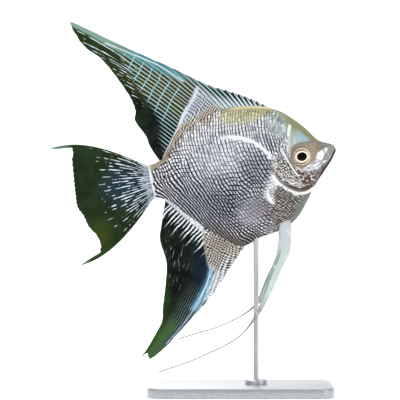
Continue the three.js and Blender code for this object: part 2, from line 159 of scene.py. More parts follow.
class Wire:
    """An output socket that takes part in sums."""

    def __init__(self, finish, socket):
        self.finish = finish
        self.socket = socket

    def math(self, operation, *values):
        return self.finish.node("ShaderNodeMath", {"operation": operation}, dict(enumerate(values)))

    def __add__(self, other):
        return self.math("ADD", self, other)

    def __sub__(self, other):
        return self.math("SUBTRACT", self, other)

    def __rsub__(self, other):
        return self.math("SUBTRACT", other, self)

    def __mul__(self, other):
        return self.math("MULTIPLY", self, other)

    def __truediv__(self, other):
        return self.math("DIVIDE", self, other)

    def __abs__(self):
        return self.math("ABSOLUTE", self)

    __radd__ = __add__
    __rmul__ = __mul__

    def fraction(self):
        return self.math("FRACT", self)

    def most(self, other):
        return self.math("MAXIMUM", self, other)

    def rise(self, low, high):
        """0 below low, 1 above high, and a smooth step between."""
        return self.finish.node(
            "ShaderNodeMapRange", {"interpolation_type": "SMOOTHSTEP"},
            {"Value": self, "From Min": low, "From Max": high})


# %% [markdown]
# A second class wraps the material. All its nodes come from one method, `node`, which takes the
# node's type, its settings and its inputs. A finish is built up as a painter does it: `lay`
# covers what is there with one more colour, by an amount that may change from place to place.

# %% Wrap a material


def colour(text):
    """A paint-chart colour such as "8d9160" as the numbers that a socket takes."""
    parts = [int(text[i:i + 2], 16) / 255 for i in (0, 2, 4)]
    linear = [p / 12.92 if p <= 0.04045 else ((p + 0.055) / 1.055) ** 2.4 for p in parts]
    return (*linear, 1.0)


class Finish:
    """A material in the making."""

    def __init__(self, name):
        self.material = bpy.data.materials.new(name)
        self.material.use_nodes = True
        self.tree = self.material.node_tree
        self.shader = self.tree.nodes["Principled BSDF"]
        self.shown = None

    def node(self, kind, settings=None, inputs=None, output=0):
        made = self.tree.nodes.new(kind)
        for name, value in (settings or {}).items():
            setattr(made, name, value)
        self.fill(made, inputs or {})
        return Wire(self, made.outputs[output])

    def fill(self, made, inputs):
        for place, value in inputs.items():
            if isinstance(value, Wire):
                self.tree.links.new(value.socket, made.inputs[place])
            else:
                made.inputs[place].default_value = value

    def mix(self, first, second, share):
        """A colour between two others. 0, 6 and 7 are the Mix node's sockets for them."""
        inputs = {0: share, 6: first, 7: second}
        return self.node("ShaderNodeMix", {"data_type": "RGBA"}, inputs, output=2)

    def lay(self, paint, share):
        """Covers what is shown so far with one more colour, as much as share says."""
        paint = paint if isinstance(paint, Wire) else colour(paint)
        self.shown = paint if self.shown is None else self.mix(self.shown, paint, share)

    def amount(self, name):
        """A number that the mesh carries at each vertex."""
        return self.node("ShaderNodeAttribute", {"attribute_name": name}, output="Fac")

    def split(self, vector, count):
        return [self.node("ShaderNodeSeparateXYZ", None, {0: vector}, i) for i in range(count)]

    def sheet(self, name):
        """The two coordinates of a UV map."""
        return self.split(self.node("ShaderNodeUVMap", {"uv_map": name}), 2)

    def place(self):
        """Where a point is in the room: three numbers, in metres."""
        return self.split(self.node("ShaderNodeTexCoord", output="Object"), 3)

    def noise(self, scale, detail, where=None):
        """Clouds. A scale of 100 gives clouds about a hundredth of a metre across."""
        where = where or self.node("ShaderNodeTexCoord", output="Object")
        inputs = {"Vector": where, "Scale": scale, "Detail": detail}
        return self.node("ShaderNodeTexNoise", None, inputs)

    def vector(self, x, y):
        return self.node("ShaderNodeCombineXYZ", None, {0: x, 1: y})

    def bump(self, height, strength, distance):
        inputs = {"Height": height, "Strength": strength, "Distance": distance}
        return self.node("ShaderNodeBump", None, inputs, "Normal")

    def surface(self, **inputs):
        """Sets the shader's sockets: base_color is Base Color, and so on."""
        named = {name.replace("_", " ").title().replace("Ior", "IOR"): value
                 for name, value in inputs.items()}
        self.fill(self.shader, named)
        return self.material


# %% [markdown]
# The sheet is white paper with a faint glow of its own, so that it stays white where the lamps'
# light falls off.

# %% Lay the backdrop
FLOOR_HALF_WIDTH, FLOOR_FRONT, FLOOR_BACK = 2.4, -2.2, 1.1
SWEEP_RADIUS, WALL_TOP = 0.8, 2.6
BACKDROP_GLOW = 0.42


def backdrop_place(was):
    across = (was[:, 0] - 0.5) * 2 * FLOOR_HALF_WIDTH
    flat = FLOOR_BACK - FLOOR_FRONT
    curve = SWEEP_RADIUS * math.pi / 2
    way = was[:, 1] * (flat + curve + WALL_TOP)
    turn = np.clip((way - flat) / SWEEP_RADIUS, 0, math.pi / 2)
    deep = FLOOR_FRONT + np.minimum(way, flat) + SWEEP_RADIUS * np.sin(turn)
    up = SWEEP_RADIUS * (1 - np.cos(turn)) + np.maximum(way - flat - curve, 0)
    return np.stack([across, deep, up], 1)


backdrop_sheet = new_sheet(2, 80)
bend(backdrop_sheet, backdrop_place)
backdrop = object_from("backdrop", backdrop_sheet)
backdrop.data.polygons.foreach_set("use_smooth", [True] * len(backdrop.data.polygons))
paper = Finish("white_paper")
backdrop.data.materials.append(paper.surface(
    base_color=paper.mix(colour("fbfbfb"), colour("f7f7f6"), paper.noise(60, 4)), roughness=0.9,
    specular_ior_level=0.1, emission_color=colour("ffffff"), emission_strength=BACKDROP_GLOW))

# %% [markdown]
# A light tent gives the soft light: a white world for the fill, and large lamps above, on the
# camera's side and behind. Large lamps give soft shadows and long, quiet highlights.

# %% Hang the lights
world = bpy.data.worlds.new("light_tent")
world.use_nodes = True
world.node_tree.nodes["Background"].inputs["Color"].default_value = (1.0, 1.0, 1.0, 1.0)
world.node_tree.nodes["Background"].inputs["Strength"].default_value = 0.52
bpy.context.scene.world = world
bpy.context.scene.view_settings.view_transform = "Standard"

LAMPS = {
    "key_lamp": dict(at=(-0.55, -0.95, 0.95), side=0.7, watts=5.6),
    "top_lamp": dict(at=(0.10, 0.05, 1.15), side=0.8, watts=5.0),
    "nose_lamp": dict(at=(0.95, -0.60, 0.35), side=0.5, watts=1.6),
    "far_lamp": dict(at=(-0.30, 0.95, 0.70), side=0.7, watts=4.0),
}
AIM = (0.0, 0.0, 0.10)
for name, lamp in LAMPS.items():
    lamp_data = bpy.data.lights.new(name, "AREA")
    lamp_data.size = lamp["side"]
    lamp_data.energy = lamp["watts"]
    lamp_object = bpy.data.objects.new(name, lamp_data)
    lamp_object.location = lamp["at"]
    towards = Matrix.Translation(AIM).to_translation() - lamp_object.location
    lamp_object.rotation_euler = towards.to_track_quat("-Z", "Y").to_euler()
    bpy.context.scene.collection.objects.link(lamp_object)
print("lamps:", ", ".join(LAMPS))

# %% [markdown]
# ## The shape of the body
# The fish has a frame of its own: x forward, y to its left, z up, in millimetres, pitched nose
# up in the room. Its body is a row of lines across the side view, from belly to back, each with
# the body's half-width there. These are the same numbers that made the solids, so that what is
# modelled here lies where the solids are. `row_spline` runs a smooth curve through any rows.

# %% Repeat the body's sections
PITCH = math.radians(10)
FISH_AT = (1.375, 0.0, 113.875)


def to_room(points):
    """Points of the fish's frame in mm as points of the room in metres."""
    x, y, z = np.moveaxis(np.asarray(points, float), -1, 0)
    c, s = math.cos(PITCH), math.sin(PITCH)
    return np.stack([FISH_AT[0] + x * c - z * s, y, FISH_AT[2] + x * s + z * c], -1) * MM


def row_spline(rows):
    rows = np.array(rows, float)
    last = len(rows) - 1

    def at(t):
        place = np.clip(np.asarray(t, float), 0, 1) * last
        i = np.minimum(place.astype(int), last - 1)
        f = (place - i)[..., None]
        here, after = rows[i], rows[i + 1]
        slope_in = (after - rows[np.maximum(i - 1, 0)]) / 2
        slope_out = (rows[np.minimum(i + 2, last)] - here) / 2
        return (here * (2 * f**3 - 3 * f**2 + 1) + after * (3 * f**2 - 2 * f**3)
                + slope_in * (f**3 - 2 * f**2 + f) + slope_out * (f**3 - f**2))

    return at


SECTIONS = [  # back x, back z, belly x, belly z, half-width
    (47.4, 0.3, 47.1, -0.7, 1.2), (46.6, 2.5, 45.9, -2.2, 2.5), (44.0, 4.1, 43.6, -5.2, 3.6),
    (39.3, 6.5, 38.8, -10.3, 4.8), (34.4, 13.0, 33.6, -16.3, 5.9),
    (29.3, 18.6, 28.7, -22.9, 6.7), (22.6, 24.3, 22.2, -30.3, 7.25),
    (13.5, 28.2, 13.6, -34.8, 7.4), (3.5, 29.7, 2.8, -36.6, 7.1),
    (-7.5, 29.9, -7.6, -39.4, 6.4), (-18.7, 25.8, -18.7, -31.8, 5.4),
    (-29.4, 19.5, -29.6, -21.6, 4.3), (-37.9, 11.6, -38.1, -12.0, 3.2),
    (-43.5, 9.0, -43.1, -8.6, 2.5), (-47.4, 8.9, -46.6, -8.1, 2.1),
]
FLANK_FULLNESS = 1.1
section_at = row_spline(SECTIONS)


def body_points(t, angle):
    """The left flank at share t of the length and an angle from -90 belly to 90 back."""
    back_x, back_z, belly_x, belly_z, half = np.moveaxis(section_at(t), -1, 0)
    share = (np.sin(angle) + 1) / 2
    y = half * np.abs(np.cos(angle)) ** FLANK_FULLNESS
    return np.stack([belly_x + (back_x - belly_x) * share, y,
                     belly_z + (back_z - belly_z) * share], -1)


print("length in mm:", SECTIONS[0][0] - SECTIONS[-1][0])

# %% [markdown]
# A map of the flank makes the rest simple. Its two coordinates are millimetres along the body
# from the snout, and millimetres up or down round the flank from its middle line. A scale that
# is laid on the map keeps its size on the fish, and past the back the map runs on down the
# other side. The table below holds the flank's points and the directions that point out of it.

# %% Map the flank
CHART_COLUMNS, CHART_ROWS = 240, 160


def flank_chart():
    t = np.linspace(0, 1, CHART_COLUMNS + 1)[:, None]
    fine = np.linspace(-math.pi / 2, math.pi / 2, 4 * CHART_ROWS + 1)[None]
    lines = body_points(t + 0 * fine, fine + 0 * t)
    steps = np.linalg.norm(np.diff(lines, axis=1), axis=2)
    girth = np.concatenate([np.zeros((len(t), 1)), np.cumsum(steps, 1)], 1)
    even = np.linspace(0, 1, CHART_ROWS + 1)
    angle = np.stack([np.interp(even * g[-1], g, fine[0]) for g in girth])
    points = body_points(t + 0 * angle, angle)
    out = np.cross(np.gradient(points, axis=0), np.gradient(points, axis=1))
    out[:, [0, -1], 1] = 0
    out /= np.linalg.norm(out, axis=2, keepdims=True)
    middle = points[:, CHART_ROWS // 2] * (1, 0, 1)
    along = np.concatenate([[0], np.cumsum(np.linalg.norm(np.diff(middle, axis=0), axis=1))])
    return points, out, along, girth[:, -1] / 2


chart_points, chart_out, chart_along, chart_half_girth = flank_chart()
BODY_LENGTH = chart_along[-1]


def read_table(table, column, row):
    """A smooth reading between the entries of a table."""
    i = np.clip(column.astype(int), 0, CHART_COLUMNS - 1)
    j = np.clip(row.astype(int), 0, CHART_ROWS - 1)
    f, g = (column - i)[:, None], (row - j)[:, None]
    return ((table[i, j] * (1 - f) + table[i + 1, j] * f) * (1 - g)
            + (table[i, j + 1] * (1 - f) + table[i + 1, j + 1] * f) * g)


def half_girth(along):
    return np.interp(along, chart_along, chart_half_girth)


def on_flank(along, girth):
    """Points on the flank and the directions out of it, for two arrays of map coordinates."""
    column = np.interp(along, chart_along, np.arange(CHART_COLUMNS + 1))
    share = girth / half_girth(along)
    over = np.abs(share) > 1
    share = np.where(over, np.sign(share) * 2 - share, share)
    row = (share + 1) / 2 * CHART_ROWS
    points, out = read_table(chart_points, column, row), read_table(chart_out, column, row)
    across = np.where(over, -1, 1)
    points[:, 1] *= across
    out[:, 1] *= across
    return points, out / np.linalg.norm(out, axis=1, keepdims=True)


print("flank map in mm:", round(BODY_LENGTH), "by", round(2 * chart_half_girth.max()))

# %% [markdown]
# ## Lines and patches in the side view
# Folds, edges and markings all follow lines on the side of the fish. A `Line` tells how far
# any point is from it and on which side. A patch is a closed outline with a soft edge. With
# these two, both the relief of the head and the pigments are drawn, always symmetrical.

# %% Draw lines and patches
LINE_STEPS = 90
BATCH = 8000


def step(low, high, value):
    """0 below low, 1 above high, smooth between."""
    f = np.clip((value - low) / (high - low), 0, 1)
    return f * f * (3 - 2 * f)


def spread(share, low, high):
    """The value at a share of the way from low to high."""
    return low + (high - low) * share


def bell(distance, width):
    """1 at no distance, and fading away over the width."""
    return np.exp(-((distance / width) ** 2))


def most(*values):
    """The greatest of several arrays, place by place."""
    return np.maximum.reduce(values)


class Line:
    def __init__(self, *points):
        self.way = row_spline(points)(np.linspace(0, 1, LINE_STEPS))
        self.heading = np.gradient(self.way, axis=0)

    def near(self, where):
        """Distance, side (1 left of the way along the line, -1 right) and share along it."""
        gap = where[:, None] - self.way[None]
        distance = np.einsum("ijk,ijk->ij", gap, gap)
        nearest = distance.argmin(1)
        rows = np.arange(len(where))
        off, head = gap[rows, nearest], self.heading[nearest]
        side = np.sign(head[:, 0] * off[:, 1] - head[:, 1] * off[:, 0])
        return np.sqrt(distance[rows, nearest]), side, nearest / (LINE_STEPS - 1)

    def stroke(self, where, half_width, soft=0.3):
        return 1 - step(half_width - soft / 2, half_width + soft / 2, self.near(where)[0])

    def ridge(self, where, half_width):
        """A rounded ridge that fades out at both ends."""
        distance, _, share = self.near(where)
        return bell(distance, half_width) * step(0, 0.15, share) * step(1, 0.85, share)


def in_batches(measure, where):
    """Runs a measure over many points, some at a time, to spare memory."""
    parts = [measure(where[i:i + BATCH]) for i in range(0, len(where), BATCH)]
    if isinstance(parts[0], dict):
        return {name: np.concatenate([p[name] for p in parts]) for name in parts[0]}
    return np.concatenate(parts)


def patch(where, outline, soft=0.4):
    """1 inside an outline of straight edges, 0 outside, soft across the edge."""
    inside = np.zeros(len(where), bool)
    nearest = np.full(len(where), np.inf)
    corners = np.array(outline, float)
    for a, b in zip(corners, np.roll(corners, -1, axis=0)):
        edge, gap = b - a, where - a
        share = np.clip(gap @ edge / (edge @ edge), 0, 1)
        nearest = np.minimum(nearest, np.linalg.norm(gap - share[:, None] * edge, axis=1))
        crosses = (a[1] > where[:, 1]) != (b[1] > where[:, 1])
        rise = edge[1] if edge[1] else 1e-9
        inside ^= crosses & (where[:, 0] < a[0] + (where[:, 1] - a[1]) * edge[0] / rise)
    return step(-soft / 2, soft / 2, np.where(inside, nearest, -nearest))


def blob(where, x, z, half_x, half_z, soft=0.6):
    """A soft-edged oval."""
    reach = np.hypot((where[:, 0] - x) / half_x, (where[:, 1] - z) / half_z)
    return 1 - step(1 - soft, 1 + soft, reach)


def ripple(a, b, size, seed):
    """Aimless, smooth ups and downs between about -1 and 1, about size mm across."""
    rng = np.random.default_rng(seed)
    total = 0
    for heading, phase, stretch in rng.uniform(0, 1, (7, 3)):
        turn = heading * 2 * math.pi
        wave = (a * math.cos(turn) + b * math.sin(turn)) / (size * (0.7 + 0.6 * stretch))
        total = total + np.sin((wave + phase) * 2 * math.pi)
    return total / 3.2


BELLY = Line(*[row[2:4] for row in SECTIONS])
print("from the middle down to the belly in mm:", BELLY.near(np.zeros((1, 2)))[0].round(1))

# %% [markdown]
# ## Relief of the head
# An angelfish's head is small, with a short snout and a tilted mouth. These places stand out
# or sink in: the bony gill cover with its free hind edge, the second edge inside it, the lips
# and the slit between them, the fold over the upper jaw, the cheek fold under the eye, the
# nostril, and the socket of the eye. Each is a line or an oval in the side view, with a height
# in millimetres. The skin and the scales are both lifted by the same relief.

# %% Model the relief
GILL_EDGE = [
    (18.9, 7.6), (17.8, 5.0), (14.8, -1.0), (13.4, -7.9), (15.8, -11.9), (19.8, -15.1),
    (25.3, -18.0), (30.0, -18.2), (34.4, -16.2)]
GILL_OPENING = Line(*GILL_EDGE)
INNER_GILL_EDGE = Line((20.3, 4.4), (21.9, -0.2), (23.9, -5.3), (27.2, -11.6))
MOUTH_SLIT = Line(
    (48.6, 0.6), (46.9, -0.1), (45.4, -1.8), (43.1, -4.8), (40.7, -7.4), (38.3, -9.9), (36.6, -12.0))
UPPER_LIP = Line((47.4, 2.0), (44.6, 0.4), (41.6, -2.6), (39.2, -4.9))
JAW_FOLD = Line((41.4, 2.9), (39.2, -0.6), (37.5, -3.4), (39.8, -5.8))
CHEEK_FOLD = Line((26.4, -5.0), (29.4, -7.1), (33.4, -7.9), (36.5, -7.6), (39.4, -6.4))
BROW_FOLD = Line((25.6, 4.6), (28.6, 5.6), (32.0, 6.0), (36.0, 6.2), (40.0, 5.2))
NOSTRIL = dict(x=37.8, z=2.9, radius=0.55, depth=0.6)
EYE = dict(x=29.6, z=-0.5, radius=4.4, socket=4.5, sink=2.6)
FOLDS = [  # line, height in mm, half-width in mm
    (UPPER_LIP, 0.16, 0.7), (JAW_FOLD, -0.28, 0.35), (CHEEK_FOLD, 0.26, 0.8),
    (BROW_FOLD, 0.12, 1.1)]


def relief(where):
    """How far the skin stands out, in mm, at points of the side view."""
    x, z = where[:, 0], where[:, 1]

    distance, side, share = GILL_OPENING.near(where)
    edge = step(0.06, 0.24, share) * step(1, 0.93, share)
    cover = (side > 0) * np.exp(-distance / 3.2) * step(0, 0.35, distance)
    height = edge * (0.42 * cover - 0.45 * (side < 0) * bell(distance, 0.9))

    distance, side, share = INNER_GILL_EDGE.near(where)
    edge = step(0, 0.1, share) * step(1, 0.8, share)
    height += edge * 0.22 * bell(distance, 0.5) * np.where(side > 0, 1, -1)

    distance, _, share = MOUTH_SLIT.near(where)
    lips = 0.22 * bell(distance - 0.75, 0.5) - 0.70 * bell(distance, 0.28)
    height += step(1, 0.8, share) * lips
    for line, rise, half_width in FOLDS:
        height += rise * line.ridge(where, half_width)

    from_nostril = np.hypot(x - NOSTRIL["x"], z - NOSTRIL["z"]) / NOSTRIL["radius"]
    height += 0.12 * bell(from_nostril - 1.7, 0.6) - NOSTRIL["depth"] * bell(from_nostril, 1)

    from_socket = np.hypot(x - EYE["x"], z - EYE["z"]) - EYE["socket"]
    height += 0.30 * bell(from_socket - 0.85, 0.55) - EYE["sink"] * step(0.1, -0.7, from_socket)
    return height * step(8, 13, x)


# %% [markdown]
# ## Where scales lie
# The snout and the face round the eye are bare skin. The gill cover, cheek and breast carry
# small scales, and the rest of the body large ones. `coat_depth` is how far the skin lies
# inside the solids, to leave room for the scales.

# %% Part the body into regions
FACE_EDGE = [(24.4, 7.0), (24.0, 3.0), (24.2, -3.4), (26.4, -6.4), (31.0, -8.2), (36.5, -8.0), (39.0, -6.6)]
BARE_FACE = [
    (14.0, 33.0), (16.6, 28.2), (21.0, 24.4), (23.6, 19.5), (24.2, 13.0), *FACE_EDGE,
    (41.0, -5.5), (44.8, -2.4), (50.0, 0.2), (52.0, 10.0), (36.0, 34.0)]
GILL_COVER = [*GILL_EDGE, (36.7, -12.0), (44.5, -3.5), *FACE_EDGE[::-1]]
BREAST = [(15.6, -12.2), (10.5, -17.5), (9.5, -38.0), (22.0, -38.0), (37.5, -17.0), (34.4, -16.2),
          (30.0, -18.2), (25.3, -18.0), (19.8, -15.1)]
THROAT = [(34.8, -16.4), (39.0, -14.0), (26.0, -33.0), (16.5, -37.0), (18.6, -31.5),
          (22.4, -25.4), (28.0, -19.6)]
STALK_TOP = [(-47.7, 9.3), (-43.8, 10.1), (-41.1, 10.7), (-38.9, 12.1), (-37.1, 13.5), (-35.3, 11.9),
             (-36.0, 9.8), (-38.5, 8.7), (-40.7, 7.7), (-43.4, 6.5), (-45.4, 5.3), (-47.5, 4.9), (-48.3, 7.6)]
PECTORAL_BASE = [(15.2, -11.0), (12.5, -12.0), (9.6, -14.6), (9.3, -16.8), (11.6, -20.2),
                 (13.2, -18.4), (13.2, -14.6)]
CHEEK = [(26.4, -6.4), (31.0, -8.2), (36.5, -8.0), (40.5, -5.4), (46.0, -1.6), (47.5, -2.0),
         (36.0, -15.0), (33.4, -16.2), (29.0, -15.6), (26.0, -10.0)]
COAT_DEPTH = 0.28
BARE_DEPTH = 0.04
JAW_LINE = Line((48.6, -0.4), (46.2, -1.9), (43.0, -4.9), (39.3, -9.0), (36.0, -12.6))
OLIVE_RIDGE = Line((-5.4, 30.5), (8.5, 29.5), (20.7, 26.5), (29.6, 20.0), (35.9, 12.6), (40.5, 6.4))


def bare_skin(where):
    """1 where the skin has no scales."""
    edge = GILL_OPENING.near(where)
    below = step(-2.0, -6.0, where[:, 1])
    rim = (edge[1] > 0) * step(2.5, 2.0, edge[0]) + (edge[1] <= 0) * step(1.0, 0.5, edge[0])
    return most(
        patch(where, BARE_FACE, 1.0), patch(where, CHEEK, 0.8), patch(where, THROAT, 1.0),
        patch(where, STALK_TOP, 0.6), rim * below, INNER_GILL_EDGE.stroke(where, 0.55, 0.3),
        OLIVE_RIDGE.stroke(where, 1.9, 0.6), JAW_LINE.stroke(where, 1.1, 0.4),
        step(-44.8, -45.6, where[:, 0]))


def coat_depth(where):
    return COAT_DEPTH - (COAT_DEPTH - BARE_DEPTH) * bare_skin(where)


# %% [markdown]
# ## The skin
# One sheet covers both flanks: a grid is bent over the left flank, then mirrored, and the two
# halves are joined down the back and the belly. More than half of its columns lie on the head,
# where the folds are. Both ends are rounded off to a point, so that the skin is closed.

# %% Bend the skin
SKIN_COLUMNS, SKIN_ROWS = 240, 150
HEAD_LENGTH, HEAD_SHARE = 37.0, 0.60
SNOUT_ROUNDING, STALK_ROUNDING = 1.3, 1.0
MERGE_M = 1e-6


def skin_place(was):
    along = np.interp(was[:, 0], [0, HEAD_SHARE, 1], [0, HEAD_LENGTH, BODY_LENGTH])
    girth = (was[:, 1] * 2 - 1) * half_girth(along)
    points, out = on_flank(along, girth)
    side_view = points[:, [0, 2]]
    lift = in_batches(relief, side_view) - in_batches(coat_depth, side_view)
    middle = on_flank(along, 0 * girth)[0] * (1, 0, 1)
    from_end = np.minimum(along / SNOUT_ROUNDING, (BODY_LENGTH - along) / STALK_ROUNDING)
    size = np.sqrt(1 - (1 - np.clip(from_end, 0, 1)) ** 2)[:, None]
    points = points + out * lift[:, None]
    points[:, 1] = np.maximum(points[:, 1], 0)
    points[np.abs(was[:, 1] - 0.5) > 0.5 - MERGE_M, 1] = 0
    return to_room(middle + (points - middle) * size)


skin_sheet = new_sheet(SKIN_COLUMNS, SKIN_ROWS)
bend(skin_sheet, skin_place)
half = skin_sheet.verts[:] + skin_sheet.edges[:] + skin_sheet.faces[:]
bmesh.ops.mirror(skin_sheet, geom=half, axis="Y", merge_dist=MERGE_M)
bmesh.ops.remove_doubles(skin_sheet, verts=skin_sheet.verts, dist=MERGE_M)
bmesh.ops.dissolve_degenerate(skin_sheet, edges=skin_sheet.edges, dist=MERGE_M)
bmesh.ops.recalc_face_normals(skin_sheet, faces=skin_sheet.faces)
print("open edges in the skin:", sum(e.is_boundary for e in skin_sheet.edges))
skin = object_from("skin", skin_sheet)

# %% [markdown]
# ## Pigments
# Colour in a fish's skin comes from layers of pigment cells, so the finish is built the same
# way: a silver ground, then one pigment after another, each with a strength from 0 to 1 at
# every point of the side view. Skin and scales carry the same strengths, as numbers on their
# vertices, and one list says which colour each pigment has. Maroon is dark pigment in places,
# and painted shade in the mouth's slit, the folds and round the eye's socket.

# %% Choose the pigments
PIGMENTS = {  # laid on in this order
    "lavender": "c6c8e2",
    "slate": "5f7082",
    "mauve": "7d6772",
    "umber": "6b5a4a",
    "gold": "94825a",
    "olive": "80845e",
    "straw": "c6be92",
    "lime": "a8a24a",
    "aqua": "a9babc",
    "sage": "a4afa3",
    "temple_blue": "93b2c4",
    "tan": "978671",
    "snout_grey": "75766a",
    "grey_green": "66706c",
    "lip_teal": "868c8a",
    "white": "eef1f4",
    # Maroon is dark pigment, and painted shade in the mouth's slit, the folds and the socket.
    "maroon": "2c1714",
}
SILVER = "dfe2e8"
print("pigments:", ", ".join(PIGMENTS))

# %% [markdown]
# Some pigments lie in strokes and small patches. White guanine edges the gill cover, the lips
# and the cheek, and maroon, as painted shade, fills the mouth's slit and the folds. Each stroke
# is listed with its strength, then its half-width and the softness of its edge in millimetres.

# %% List the strokes and patches
SHEATH_LINE = Line((-5.0, 30.0), (-9.1, 28.4), (-22.7, 23.2), (-36.8, 13.0), (-44.0, 8.6))
LATERAL_LINE = Line(
    (-9.6, 15.7), (-6.0, 15.6), (-2.3, 14.9), (3.4, 13.0), (8.0, 10.1),
    (11.1, 7.3), (13.1, 4.4), (14.9, 1.6))
CHEEK_LANES = Line((25.1, -5.3), (28.2, -8.0), (32.1, -8.7), (36.4, -7.6), (40.3, -5.6), (43.7, -3.5))
CHEEK_SILVER = [(28.6, -7.0), (32.3, -5.0), (35.0, -3.9), (37.3, -2.8), (39.8, -5.2), (38.1, -6.9),
                (34.7, -8.1), (30.6, -8.3)]
TEMPLE = [(30.1, 13.2), (35.1, 6.9), (31.6, 6.6), (28.2, 7.3), (29.5, 11.9)]
UPPER_LIP_TOP = [(43.5, 2.5), (47.2, 2.0), (47.6, 0.2), (45.1, -1.6), (42.6, -3.8), (39.4, -4.5),
                 (41.5, -1.2), (43.0, 0.4)]
PELVIC_SPOT = (8.5, -33.1, 3.6, 1.9, 0.4)
WHITE_PATCHES = [  # strength, softness, outline
    (0.95, 0.4, [(36.4, -2.4), (37.7, 0.0), (40.4, 1.3), (41.1, -0.9), (40.2, -2.7), (39.0, -4.0),
                 (36.8, -3.3)]),
    (0.75, 0.4, [(41.1, 1.5), (42.4, 2.2), (43.3, 1.5), (42.7, 0.3), (41.6, -1.1), (41.2, 0.0)]),
    (0.8, 0.4, [(39.5, -4.9), (42.2, -4.8), (43.4, -4.0), (40.8, -6.8), (39.4, -5.9)]),
    (0.85, 0.5, CHEEK_SILVER), (0.5, 0.8, PECTORAL_BASE)]
WHITE_STROKES = [  # strength, half-width, softness, line
    (0.97, 0.40, 0.3, INNER_GILL_EDGE),
    (0.9, 0.24, 0.35, Line(  # under the cheek
        (26.4, -5.4), (28.4, -7.3), (31.0, -8.5), (34.7, -8.4), (38.1, -7.1), (40.0, -5.6))),
    (0.9, 0.26, 0.25, Line(  # the lip
        (46.6, -0.2), (45.2, -1.7), (43.8, -3.2), (42.2, -4.4), (39.7, -4.7))),
    (0.95, 0.68, 0.5, Line(  # round the gill cover, and the seams on it
        (13.8, -7.4), (15.9, -11.4), (18.7, -14.4), (21.1, -16.3), (24.2, -18.1), (27.6, -18.6),
        (31.0, -17.8), (34.2, -16.0))),
    (0.9, 0.34, 0.4, Line((14.8, -6.0), (16.7, -9.4), (18.9, -11.8), (21.7, -13.1), (25.8, -12.6))),
    (0.55, 0.16, 0.3, Line((25.9, -15.1), (28.4, -15.3), (31.1, -14.5), (34.4, -13.0), (37.0, -11.2))),
    (0.7, 0.35, 0.4, Line((13.5, 0.8), (14.8, -3.0), (17.1, -7.5), (20.0, -11.0))),
    (0.95, 1.25, 0.6, Line(  # round the root of the pectoral fin
        (14.4, -11.6), (12.4, -12.3), (9.7, -14.6), (9.7, -17.0), (11.8, -20.0))),
    (0.85, 0.75, 0.8, Line((26.4, 15.6), (25.6, 13.6), (24.9, 11.2))),  # three on the nape
    (0.45, 0.35, 0.6, Line((25.2, 9.8), (24.4, 7.6), (24.0, 5.2))),
    (0.35, 0.3, 0.6, Line((27.9, 9.6), (27.4, 8.0), (27.2, 6.6)))]
# The mouth's slit and the line under the brow are painted shade; the other two are dark marks.
MAROON_AND_SHADE_STROKES = [
    (0.97, 0.50, 0.3, MOUTH_SLIT),
    (0.70, 0.85, 0.7, Line(  # inside the gill cover's edge
        (15.7, -6.6), (18.0, -10.4), (21.6, -13.8), (26.0, -16.3), (30.4, -16.0), (33.4, -14.2))),
    (0.5, 0.16, 0.3, Line((25.4, 16.2), (24.3, 13.0), (23.6, 8.0))),
    (0.6, 0.2, 0.3, Line((24.3, -1.1), (25.6, 3.5), (27.9, 5.5), (31.9, 6.2), (36.2, 5.6)))]
print("white strokes:", len(WHITE_STROKES), "maroon strokes:", len(MAROON_AND_SHADE_STROKES))

# %% [markdown]
# Now each pigment's strength. `most` takes the strongest of several, `step` shuts a pigment off
# past a line, and `blob` is an oval, given by its middle, its half-widths and its softness.

# %% Say where the pigments lie


def strongest(strokes, where):
    return most(*(strength * line.stroke(where, half_width, soft)
                  for strength, half_width, soft, line in strokes))


